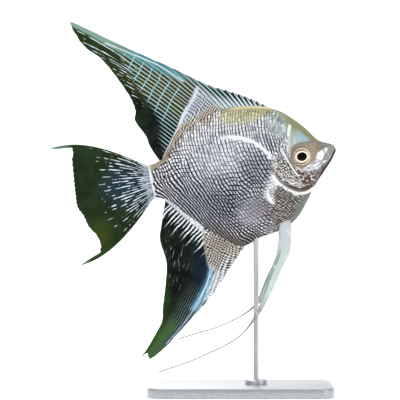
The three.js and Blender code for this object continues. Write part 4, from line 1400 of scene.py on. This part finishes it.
def dorsal_paints(at):
    base = DORSAL_RAY_BASE.near(at.where)
    over = base[0] * np.where(base[1] > 0, 1, -1)
    spiny = step(12.5, 9.5, at.number)
    bare_spines = spiny * step(6.0, 9.5, at.number) * step(0.3, 0.6, at.v)
    soft = 1 - spiny
    sheath = step(-0.5, 0.5, over) * soft * step(-42, -38, at.x)
    open_web = 1 - sheath
    from_sheath = SHEATH_LINE.near(at.where)[0]
    hind_end = step(5.0, 3.0, from_sheath) * step(-24, -34, at.x)
    rim = step(0.4, 0.15, np.abs(over - 0.4)) * soft * step(-41, -39, at.x)
    lead = DORSAL_LEAD.near(at.where)
    lead_width = 1.7 + 2.6 * step(0, 0.6, lead[2])
    band = (1 - step(lead_width - 0.8, lead_width + 0.8, lead[0])) * step(10, 13, at.number)
    inner = step(-56, -44, at.x)
    low = step(19, 23, at.number)
    upper = step(26, 20, at.number) * step(3, 9, at.to_margin)
    far = spread(step(16, 29, at.number), 40, 5)
    shown = step(0, 1, (at.to_margin - spread(low, 2, 8)) / spread(low, 6, 9))
    shown = shown * step(34.8, 32.5, at.number) * step(far + 4, far - 3, -over)
    tanned = step(5.5, 2.5, from_sheath) * sheath
    return {
        "gold": 0.75 * inner * upper * open_web,
        "rust": 0.22 * inner * upper * step(-46, -30, at.x) * open_web
                + 0.45 * hind_end * step(0.5, 1.2, over),
        "moss": 0.28 * step(-44, -56, at.x),
        "navy": 0.6 * band * step(0.25, 0.6, lead[2]) * step(2.6, 1.4, lead[0])
                + 0.06 * low * step(6, 14, at.to_margin),
        "blue": 0.15 * band * step(0.35, 0.7, lead[2]),
        "teal": 0.45 * band * step(0.35, 0.55, lead[2]),
        "mist": 0.8 * band * step(0.60, 0.30, lead[2]),
        "sheath": np.clip(sheath * (1 - 0.65 * hind_end) + 0.95 * spiny - 0.75 * bare_spines, 0, 1),
        "tanned": soft * tanned,
        "cream": 0.55 * soft * tanned,
        # The gleam stroke is a painted highlight; the rim is a pale line at the sheath.
        "milk": most(0.8 * DORSAL_GLEAM.stroke(at.where, 0.3, 0.5), 0.5 * rim),
        "rays": open_web * soft * shown * spread(step(-48, -62, at.x), 1, 0.4) * (1 - 0.5 * band)
                + bare_spines,
        "bars": step(3.5, 5.5, -over) * inner * shown * step(14, 16, at.number)
                * step(28, 22, at.number),
        "dashes": 0.56 * step(-42, -50, at.x) * step(1.5, 4, at.to_margin) * (1 - band)
                  * step(29, 24, at.number),
        "stripes": spiny,
        "mesh": 0.8 * sheath * step(0.8, 2.6, over),
        "band": over,
        "weave": at.number,
    }


# %% [markdown]
# The tail fin: a pale crescent at its root, rows of white dashes on a navy ground that grow
# scarcer towards the margin, and a dark green margin.

# %% Paint the tail fin
TAIL_HEART = dict(x=-57.5, z=0.5, half_x=12.0, half_z=9.5)
TAIL_ROOT_X = -46.8


def tail_paints(at):
    crescent = step(-50.5, -48.0, at.x)
    heart = blob(at.where, **TAIL_HEART)
    return {
        "gold": 0.45 * blob(at.where, -75.5, -21, 4.5, 5.5, 0.9),
        "moss": 0.17 + 0.15 * blob(at.where, -77, -21, 7, 9, 0.9) + 0.05 * step(12, 22, at.z)
                + 0.25 * step(-26, -34, at.z),
        "navy": 0.40 * heart,
        "blue": 0.03 * heart,
        "mist": 0.4 * step(-82.5, -86, at.x) * step(14, 20, np.abs(at.z)),
        "sheath": 0.9 * crescent,
        "rays": 0.3 * step(-52, -48, at.x),
        "dashes": spread(step(-75, -56, at.x), 0.04, 0.70) * step(8, 12, at.to_margin)
                  * spread(step(-6, -22, at.z), 1, 0.4),
        "mesh": 0.7 * crescent,
        "band": TAIL_ROOT_X - at.x,
        "weave": 0.68 * at.number,
    }


# %% [markdown]
# The anal fin: a pale wedge and a checked sheath at the body, a comb of white strokes that
# starts at the wedge, blue and teal along the front edge, and a green tip.

# %% Paint the anal fin
ANAL_WEDGE = [(-41.8, -9.2), (-40.2, -11.2), (-36.8, -15.4), (-33.4, -19.6), (-30.4, -23.2),
              (-26.4, -27.8), (-22.4, -32.4), (-22.0, -27.0), (-28.0, -20.5), (-36.0, -10.0)]
COMB_LINE = Line((-40.0, -12.4), (-36.2, -16.6), (-32.2, -21.2), (-28.2, -25.8), (-24.2, -30.6),
                 (-20.4, -35.0))
COMB_LENGTH, COMB_STROKES = 11.5, 17
ANAL_CHECKS = [(-25.5, -33.0), (-24.4, -27.0), (-8.3, -27.9), (-4.8, -36.6), (-10.3, -44.8),
               (-16.8, -49.7), (-23.2, -48.6), (-25.6, -45.1)]
ANAL_FRONT = [(-8.8, -42.0), (-12.8, -47.4), (-19.2, -54.9), (-28.2, -62.9),
              (-30.1, -62.1), (-26.4, -55.6), (-22.3, -49.3), (-16.2, -43.7)]
ANAL_BLUE = Line((-24.0, -47.4), (-25.7, -51.7), (-29.2, -57.2), (-33.8, -63.0), (-36.3, -65.6))
ANAL_TEAL = Line((-24.4, -55.5), (-27.0, -58.6), (-30.1, -62.1))
ANAL_NAVY = Line((-29.0, -61.5), (-38.0, -69.0), (-52.4, -80.6))
ANAL_WHITES = [
    Line((-18.6, -46.0), (-21.0, -52.4), (-25.6, -59.2), (-35.0, -68.6), (-49.0, -78.4)),
    Line((-20.8, -44.0), (-23.4, -52.0), (-28.8, -60.4), (-38.0, -70.2), (-50.0, -79.6)),
    Line((-24.0, -44.0), (-27.0, -53.0), (-33.0, -62.0), (-42.0, -71.6), (-53.0, -80.6)),
]


def anal_paints(at):
    wedge = patch(at.where, ANAL_WEDGE, 0.9)
    checks = patch(at.where, ANAL_CHECKS, 2.0)
    front = patch(at.where, ANAL_FRONT, 1.6)
    near_comb = COMB_LINE.near(at.where)
    beyond = np.where(near_comb[1] < 0, near_comb[0], -near_comb[0]) / COMB_LENGTH
    lane = near_comb[2] * COMB_STROKES + 0.35 * beyond**2 + 0.16 * ripple(at.x, at.z, 9, 11)
    uneven = 1 + 0.38 * np.sin(np.floor(lane) * 2.4)
    comb = step(-1.4, 0.2, beyond * COMB_LENGTH) * step(1.0, 0.1, beyond / uneven)
    tip = step(-66, -78, at.z)
    blue = bell(ANAL_BLUE.near(at.where)[0], 1.5)
    whites = most(*(line.stroke(at.where, 0.22, 0.35) for line in ANAL_WHITES))
    belly = BELLY.near(at.where)[0]
    return {
        "gold": 0.35 * tip,
        "rust": 0.25 * checks * step(10, 3, belly),
        "moss": 0.9 * tip + 0.3 * step(-44, -50, at.x),
        "navy": np.clip(0.9 * ANAL_NAVY.stroke(at.where, 1.6, 1.6)
                        + 0.35 * step(-30, -45, at.z) * step(-38, -28, at.x), 0, 1),
        "blue": 0.95 * blue,
        "teal": 0.8 * bell(ANAL_TEAL.near(at.where)[0], 1.2),
        "sheath": np.clip(0.95 * (wedge + front) + 0.92 * checks, 0, 1),
        "tanned": 0.6 * checks * step(13, 5, belly),
        "cream": 0.55 * checks,
        "milk": most(0.85 * whites, 0.85 * front, 0.7 * wedge),
        "rays": 0.42 * step(19, 11, at.number) * step(-50, -66, at.z) * (1 - 0.6 * tip),
        "dashes": 0.09 * blob(at.where, -42.2, -41.2, 7, 15, 0.7) + 0.8 * blue * (1 - front),
        "stripes": front * (0.3 * step(5.0, 2.5, at.number) + 0.7 * step(1.7, 0.9, at.number)),
        "mesh": np.clip(checks + 0.6 * front + 0.25 * wedge, 0, 1),
        "comb": comb * (1 - checks) * (1 - wedge),
        "lane": lane,
        "band": 0.95 * belly,
        "weave": 0.85 * at.number,
    }


# %% [markdown]
# The finish draws each ray as a light line at its own place in the count, splits it in two
# towards the margin, and breaks it into the bony segments that soft rays are made of. `lane`
# counts the strokes of the comb and `weave` the columns of the mesh in the same way. `band` is
# a distance in millimetres from the fin's own base line, which places the cross-bars and the
# rows of the mesh.

# %% Mix the fins' finish
BAR_SPACING, MESH_ROW = 5.3, 1.15
DASH_ROWS, JOINTS = 1.65, 46


def off_line(count):
    """How far a place is off the middle between two whole numbers: 0 there, 1 at each end."""
    return abs(count.fraction() - 0.5) * 2


def fin_finish():
    made = Finish("fin_membrane")
    number, reach = made.amount("ray_number"), made.amount("reach")
    rays, bars, dashes, stripes, mesh, tanned, comb, lane, band, weave = [
        made.amount(mark) for mark in FIN_MARKS]
    wobble = made.noise(450, 3) - 0.5
    slow = made.noise(160, 2) - 0.5

    off = off_line(number + 0.14 * wobble)
    out = reach.rise(SPLIT_FROM, SPLIT_TO)
    line = off.rise(0.34, 0.20) * (1 - out) + abs(off - BRANCH_OFF).rise(0.24, 0.13) * out
    made.lay(made.mix(colour(FIN_GROUND), colour("1a241a"), made.noise(160, 3).rise(0.4, 0.65)), 1)
    for name, paint in FIN_PAINTS.items():
        made.lay(paint, made.amount(name))

    rows = off_line((band + 0.8 * wobble + 3.4 * slow) / MESH_ROW)
    across = off_line(weave + 0.4 * wobble + 2.0 * slow)
    cells = rows.rise(0.58, 0.84).most(across.rise(0.52, 0.78) * (1 - tanned * 0.6)) * mesh
    knots = rows.rise(0.36, 0.62) * across.rise(0.36, 0.62) * mesh
    thread = made.mix(colour("39333a"), colour("69451c"), tanned)
    made.lay(thread, cells.most(rows.rise(0.4, 0.7) * tanned) * 0.9)
    made.lay("15110f", knots * 0.95)

    dark = (off + 0.75 * reach).rise(0.72, 0.90) * stripes
    made.lay("4a6a66", dark)
    made.lay("0d100f", dark * (off + 0.9 * reach).rise(1.06, 1.28))
    made.lay("aed4d8", line * rays * 0.85)
    bar = off_line((band + 2.6 * (made.noise(90, 1) - 0.5)) / BAR_SPACING)
    made.lay("9ad2e2", bar.rise(0.12, 0.06) * bars * 0.8)

    lane = lane + 0.25 * wobble
    uneven = made.noise(1.0, 2.0, made.vector(lane * 0.9, 0.0)) - 0.5
    stroke = (comb * 0.52 + 0.3 * uneven - off_line(lane)).rise(0.0, 0.14)
    pale = made.mix(colour("6f9fc4"), colour("eef3fa"), comb.rise(0.1, 0.7))
    made.lay(pale, stroke * (comb * 4).rise(0.0, 1.0) * 0.95)

    rows = weave * DASH_ROWS
    broken = made.noise(1.0, 4.0, made.vector(rows, reach * 11)) + 0.24 * dashes
    thin = off_line(rows + 0.3 * wobble) * (0.7 + 1.3 * reach) + 2.4 * (0.66 - broken)
    dash = thin.rise(0.34, 0.12) * broken.rise(0.585, 0.645) * dashes.rise(0.0, 0.15)
    made.lay("e2ebf8", dash * 0.92)
    joints = (reach * JOINTS).fraction().rise(0.0, 0.4)
    return made.surface(
        base_color=made.shown, roughness=0.5 + 0.2 * joints, specular_ior_level=0.06,
        coat_weight=0.02, coat_roughness=0.3,
        normal=made.bump(joints * line + wobble, 0.25, 0.00006))

# %% [markdown]
# Each fin now gets its sheet, its amounts and the finish. The amounts need five numbers for
# each vertex: the ray's number, the share of the way out, the distance to the margin, x and z.

# %% Spread the fins


def make_fin(name, fin, paints, node, columns_per_ray, rows):
    bm, number, v, to_margin = fin_sheet(fin, columns_per_ray, rows)
    made = object_from(name, bm)

    def measure(part):
        n, share, margin, x, z = part.T
        at = SimpleNamespace(number=n, v=share, to_margin=margin, x=x, z=z, where=part[:, 3:])
        painted = paints(at)
        nothing = {label: 0 * x for label in (*FIN_PAINTS, *FIN_MARKS) if label not in painted}
        return painted | nothing | {"ray_number": n, "reach": share}

    table = np.column_stack([number, v, to_margin, side_view_of(made.data)])
    set_amounts(made.data, in_batches(measure, table))
    finish_piece(made, fin_material, [node])


fin_material = fin_finish()
make_fin("dorsal_fin_rays", DORSAL, dorsal_paints, "dorsal_fin", 6, 110)
make_fin("anal_fin_rays", ANAL, anal_paints, "anal_fin", 6, 110)
make_fin("tail_fin_rays", TAIL, tail_paints, "tail_fin", 10, 84)

# %% [markdown]
# The pelvic fins hang below the breast: a pale ribbon of a few rays, of which the first runs
# on as a long feeler. Each is a closed sheet along a path, thick in the middle of its width.

# %% Hang the pelvic fins
PELVIC_RIGHT = [  # x, z, half-width
    (16.8, -27.0, 1.4), (15.8, -32.6, 2.9), (14.6, -37.9, 3.0), (13.7, -42.8, 3.1), (11.6, -47.5, 2.7),
    (8.6, -52.0, 2.3), (4.5, -58.3, 2.2), (0.4, -65.2, 1.7), (-5.0, -72.7, 1.0),
    (-11.8, -79.5, 0.42), (-19.3, -84.2, 0.33), (-31.2, -87.9, 0.3), (-44.3, -91.0, 0.28),
    (-59.2, -93.2, 0.27)]
PELVIC_LEFT = [
    (16.4, -27.0, 1.3), (15.3, -32.6, 2.6), (14.2, -39.0, 2.7), (13.0, -43.4, 2.7), (11.0, -48.1, 2.4),
    (7.6, -53.1, 2.2), (3.3, -58.8, 2.0), (-0.7, -64.5, 1.5), (-4.6, -69.0, 0.9),
    (-10.3, -72.6, 0.42), (-19.2, -75.8, 0.32), (-27.8, -77.8, 0.3), (-37.2, -78.9, 0.28),
    (-46.6, -80.2, 0.27)]
PELVIC_ROOT_Y, PELVIC_TIP_Y, PELVIC_SPLAY, PELVIC_SUNK = 2.6, 11.0, 1.4, 1.3
PELVIC_THICK, PELVIC_THIN, PELVIC_THINNING, PELVIC_LEAST = 0.62, 0.24, 1.3, 0.02
PELVIC_RIBS, RIB_HEIGHT = 5, 0.16
PELVIC_LOOK = 0.004


def sheet_fin(name, columns, rows, place, material, node):
    """A closed sheet whose finish reads the place across it and the reach along it."""
    bm, sheet = closed_sheet(columns, rows, place)
    made = object_from(name, bm)
    set_amounts(made.data, {"across": sheet[:, 0], "reach": sheet[:, 1]})
    finish_piece(made, material, [node])


def pelvic_place(path, fin_side):
    station = row_spline(path)

    def place(u, v, side):
        x, z, half = np.moveaxis(station(v), -1, 0)
        ahead = station(np.minimum(v + PELVIC_LOOK, 1)) - station(np.maximum(v - PELVIC_LOOK, 0))
        ahead = ahead[:, :2] / np.linalg.norm(ahead[:, :2], axis=1, keepdims=True)
        turn = u * 2 - 1
        thick = spread(v**PELVIC_THINNING, PELVIC_THICK, PELVIC_THIN)
        ribs = RIB_HEIGHT * np.cos(turn * PELVIC_RIBS * math.pi) * step(0.75, 0.5, v)
        rounding = np.sqrt(np.clip(1 - turn**2, 0, 1))
        off = side * (thick * rounding * (0.85 + ribs) + PELVIC_LEAST)
        splay = spread(v**PELVIC_SPLAY, PELVIC_ROOT_Y, PELVIC_TIP_Y) - PELVIC_SUNK * step(0.09, 0, v)
        return to_room(np.stack([x - ahead[:, 1] * turn * half, fin_side * splay + off,
                                 z + ahead[:, 0] * turn * half], 1))

    return place


def pelvic_finish():
    made = Finish("pelvic_membrane")
    across, reach = made.amount("across"), made.amount("reach")
    blade = reach.rise(0.24, 0.32) * reach.rise(0.60, 0.50)
    ribs = (across * PELVIC_RIBS).fraction()
    joints = (reach * 150).fraction()
    made.lay("bcc4c9", 1)
    made.lay("bccdc7", reach.rise(0.15, 0.45))
    made.lay("94ada1", across.rise(0.24, 0.18) * blade)
    made.lay("3f5a50", abs(across - 0.22).rise(0.07, 0.02) * blade * 0.85)
    made.lay("8e9a9a", across.rise(0.3, 0.0) * 0.4)
    made.lay("8c8976", reach.rise(0.54, 0.64))
    made.lay("93a0a3", abs(ribs - 0.5).rise(0.36, 0.5) * 0.5)
    made.lay("6f6d63", joints.rise(0.6, 0.9) * reach.rise(0.5, 0.65) * 0.8)
    made.lay("eef2f6", made.noise(300, 3).rise(0.52, 0.75) * 0.5)
    return made.surface(base_color=made.shown, roughness=0.4, specular_ior_level=0.4,
                        coat_weight=0.15, coat_roughness=0.25)


pelvic_material = pelvic_finish()
for label, path in (("right", PELVIC_RIGHT), ("left", PELVIC_LEFT)):
    sheet_fin(f"pelvic_{label}_ribbon", 24, 170, pelvic_place(path, SIDES[label]), pelvic_material,
              f"pelvic_fin_{label}")

# %% [markdown]
# The pectoral fins, behind the gill covers, are clear as glass. Only their rays and the white
# fleshy root show. So the membrane's finish is almost transparent, and less so on the rays.

# %% Fan out the pectoral fins
PECTORAL = dict(
    root_x=11.6, root_z=-16.6, half_height=2.4, length=19.0, spread=34, droop=12, stand=15,
    shortening=0.28, sunk=1.0, bow=1.4, root=0.8, edge=0.4, rays=12, ray_width=0.4)


def flank_at(x, z):
    """The body's half-width at a point of the side view."""
    gap = (chart_points[..., 0] - x) ** 2 + (chart_points[..., 2] - z) ** 2
    return chart_points[..., 1].ravel()[gap.argmin()]


def pectoral_place(fin_side):
    f = PECTORAL
    root_y = flank_at(f["root_x"], f["root_z"]) - f["sunk"]

    def place(u, v, side):
        turn = (u - 0.5) * 2
        angle = math.pi + math.radians(f["droop"]) + turn * math.radians(f["spread"])
        reach = f["length"] * (1 - f["shortening"] * turn**2) * v
        x = f["root_x"] + np.cos(angle) * reach
        z = f["root_z"] - turn * f["half_height"] + np.sin(angle) * reach
        out = root_y + math.sin(math.radians(f["stand"])) * reach + f["bow"] * np.sqrt(v)
        ridge = bell(np.abs(u * f["rays"] % 1 - 0.5) * 2, f["ray_width"])
        half = spread(v, f["root"], f["edge"]) / 2 * spread(ridge, 0.45, 1)
        return to_room(np.stack([x, fin_side * out + side * half, z], 1))

    return place


def pectoral_finish():
    made = Finish("clear_membrane")
    across, reach = made.amount("across"), made.amount("reach")
    ray = off_line(across * PECTORAL["rays"]).rise(0.4, 0.1) * reach.rise(1.0, 0.3)
    flesh = reach.rise(0.20, 0.08)
    return made.surface(
        base_color=made.mix(colour("dde6ee"), colour("f3f6f9"), flesh), roughness=0.25,
        specular_ior_level=0.3, alpha=(0.07 + 0.22 * ray + 0.9 * flesh).rise(0.0, 1.0))


pectoral_material = pectoral_finish()
for label, side in SIDES.items():
    sheet_fin(f"pectoral_{label}_fan", 96, 30, pectoral_place(side), pectoral_material,
              f"pectoral_fin_{label}")

# %% [markdown]
# ## Eyes
# An eye is turned, like a bead on a lathe: half its outline is drawn and spun round. The ball
# sits deep in the head and only its front shows: the black pupil, a cream ring, a thin brown
# line and a duller outer ring, with painted shade at its edge where it goes into the socket. A
# clear coat makes it wet.

# %% Turn the eyes
EYE_BALL = dict(radius=4.5, depth=2.7, bulge=0.95)
EYE_PROFILE = [  # share of the radius, share of the depth
    (0.0, 1.03), (0.12, 1.028), (0.25, 1.015), (0.38, 0.985), (0.47, 0.945), (0.50, 0.90),
    (0.53, 0.865), (0.60, 0.82), (0.70, 0.74), (0.80, 0.63), (0.90, 0.46), (0.97, 0.26),
    (1.0, 0.0), (0.9, -0.45), (0.6, -0.8), (0.3, -0.95), (0.0, -1.0)]
EYE_STEPS, EYE_RINGS, EYE_SHARP = 96, 49, 60
PUPIL_NARROWING = 0.86


def turned(profile, steps):
    """Spins an outline of (radius, height) pairs in mm about an upright axis, into a solid."""
    bm = bmesh.new()
    corners = [bmesh.ops.create_vert(bm, co=(r * MM, 0, h * MM))["vert"][0] for r, h in profile]
    edges = [bm.edges.new(pair) for pair in zip(corners, corners[1:])]
    bmesh.ops.spin(bm, geom=corners + edges, cent=(0, 0, 0), axis=(0, 0, 1), angle=2 * math.pi,
                   steps=steps, use_merge=True)
    bmesh.ops.remove_doubles(bm, verts=bm.verts, dist=MERGE_M)
    bmesh.ops.recalc_face_normals(bm, faces=bm.faces)
    return bm


def eye(name, fin_side, node):
    smooth = row_spline(EYE_PROFILE)(np.linspace(0, 1, EYE_RINGS))
    smooth[0, 0] = smooth[-1, 0] = 0
    bm = turned(smooth * (EYE_BALL["radius"], EYE_BALL["depth"]), EYE_STEPS)
    x, y, _ = np.array([v.co for v in bm.verts]).T / MM
    quarter = Matrix.Rotation(math.radians(-90 * fin_side), 4, "X")
    pitch = Matrix.Rotation(-PITCH, 4, "Y")
    out = flank_at(EYE["x"], EYE["z"]) - EYE_BALL["depth"] + EYE_BALL["bulge"]
    place = to_room([[EYE["x"], fin_side * out, EYE["z"]]])[0]
    bmesh.ops.transform(bm, matrix=Matrix.Translation(place) @ pitch @ quarter, verts=bm.verts)
    bmesh.ops.recalc_face_normals(bm, faces=bm.faces)
    made = object_from(name, bm)
    set_amounts(made.data, {"oval": np.hypot(x * PUPIL_NARROWING, y), "radius": np.hypot(x, y)})
    finish_piece(made, eye_material, [node], EYE_SHARP)


def eye_finish():
    made = Finish("wet_eye")
    streak = 0.12 * (made.noise(700, 3) - 0.5)
    oval, radius = made.amount("oval") + streak, made.amount("radius") + streak
    made.lay("060403", 1)
    made.lay("efe5cf", oval.rise(2.10, 2.24))
    made.lay("dccba4", oval.rise(2.6, 3.0) * 0.7)
    made.lay("5c402c", oval.rise(2.98, 3.14))
    made.lay("f8f2e6", radius.rise(3.66, 3.82))
    # The dark rim where the ball goes into its socket is painted shade.
    made.lay("5a4838", radius.rise(4.32, 4.44) * 0.8)
    return made.surface(
        base_color=made.shown, roughness=0.2, specular_ior_level=0.06, coat_weight=0.06,
        coat_roughness=0.03)


eye_material = eye_finish()
for label, side in SIDES.items():
    eye(f"eye_ball_{label}", side, f"eye_{label}")

# %% [markdown]
# ## The stand
# A museum mount holds the fish: a flat plate and one rod that goes into the belly. The plate
# is a block with rounded corners and a small bevel; the rod and its foot are turned in one.

# %% Make the stand
BASE = dict(length=92, width=52, height=5, corner=8, bevel=0.6)
ROD = dict(x=8, radius=1.3, top=82, foot=5.5, foot_height=2.4, foot_rounding=0.7, end_rounding=0.4)
STAND_SHARP = 30


def round_edges(bm, edges, radius, segments):
    bmesh.ops.bevel(bm, geom=edges, offset=radius * MM, offset_type="OFFSET", segments=segments,
                    profile=0.5, affect="EDGES", material=-1)


def rise_of(edge):
    return abs(edge.verts[0].co.z - edge.verts[1].co.z)


def stand_plate():
    bm = bmesh.new()
    size = (BASE["length"] * MM, BASE["width"] * MM, BASE["height"] * MM, 1)
    up = Matrix.Translation((0, 0, BASE["height"] / 2 * MM))
    bmesh.ops.create_cube(bm, size=1, matrix=up @ Matrix.Diagonal(size))
    round_edges(bm, [e for e in bm.edges if rise_of(e) > MM], BASE["corner"], 10)
    round_edges(bm, [e for e in bm.edges if rise_of(e) < MM / 10], BASE["bevel"], 3)
    return object_from("stand_plate", bm)


def stand_rod():
    bottom, top, radius, foot = BASE["height"], ROD["top"], ROD["radius"], ROD["foot"]
    shoulder = bottom + ROD["foot_height"]
    rounding, end = ROD["foot_rounding"], ROD["end_rounding"]
    bm = turned([
        (0, bottom), (foot, bottom), (foot, shoulder - rounding), (foot - 0.2, shoulder - 0.2),
        (foot - rounding, shoulder), (radius + 0.6, shoulder), (radius + 0.15, shoulder + 0.15),
        (radius, shoulder + 0.6), (radius, top - end), (radius - end, top), (0, top)], 40)
    bmesh.ops.translate(bm, verts=bm.verts, vec=(ROD["x"] * MM, 0, 0))
    return object_from("stand_post", bm)


def metal_finish(name, paint, grain_scale):
    made = Finish(name)
    grain = made.noise(grain_scale, 4)
    made.lay(paint, 1)
    made.lay("ffffff", grain.rise(0.3, 0.8) * 0.15)
    return made.surface(base_color=made.shown, metallic=0.85, roughness=0.3 + 0.15 * grain)


finish_piece(stand_plate(), metal_finish("satin_aluminium", "a4a9ae", 900),
             ["stand_base"], STAND_SHARP)
finish_piece(stand_rod(), metal_finish("brushed_steel", "b9bdc2", 120),
             ["stand_rod"], STAND_SHARP)
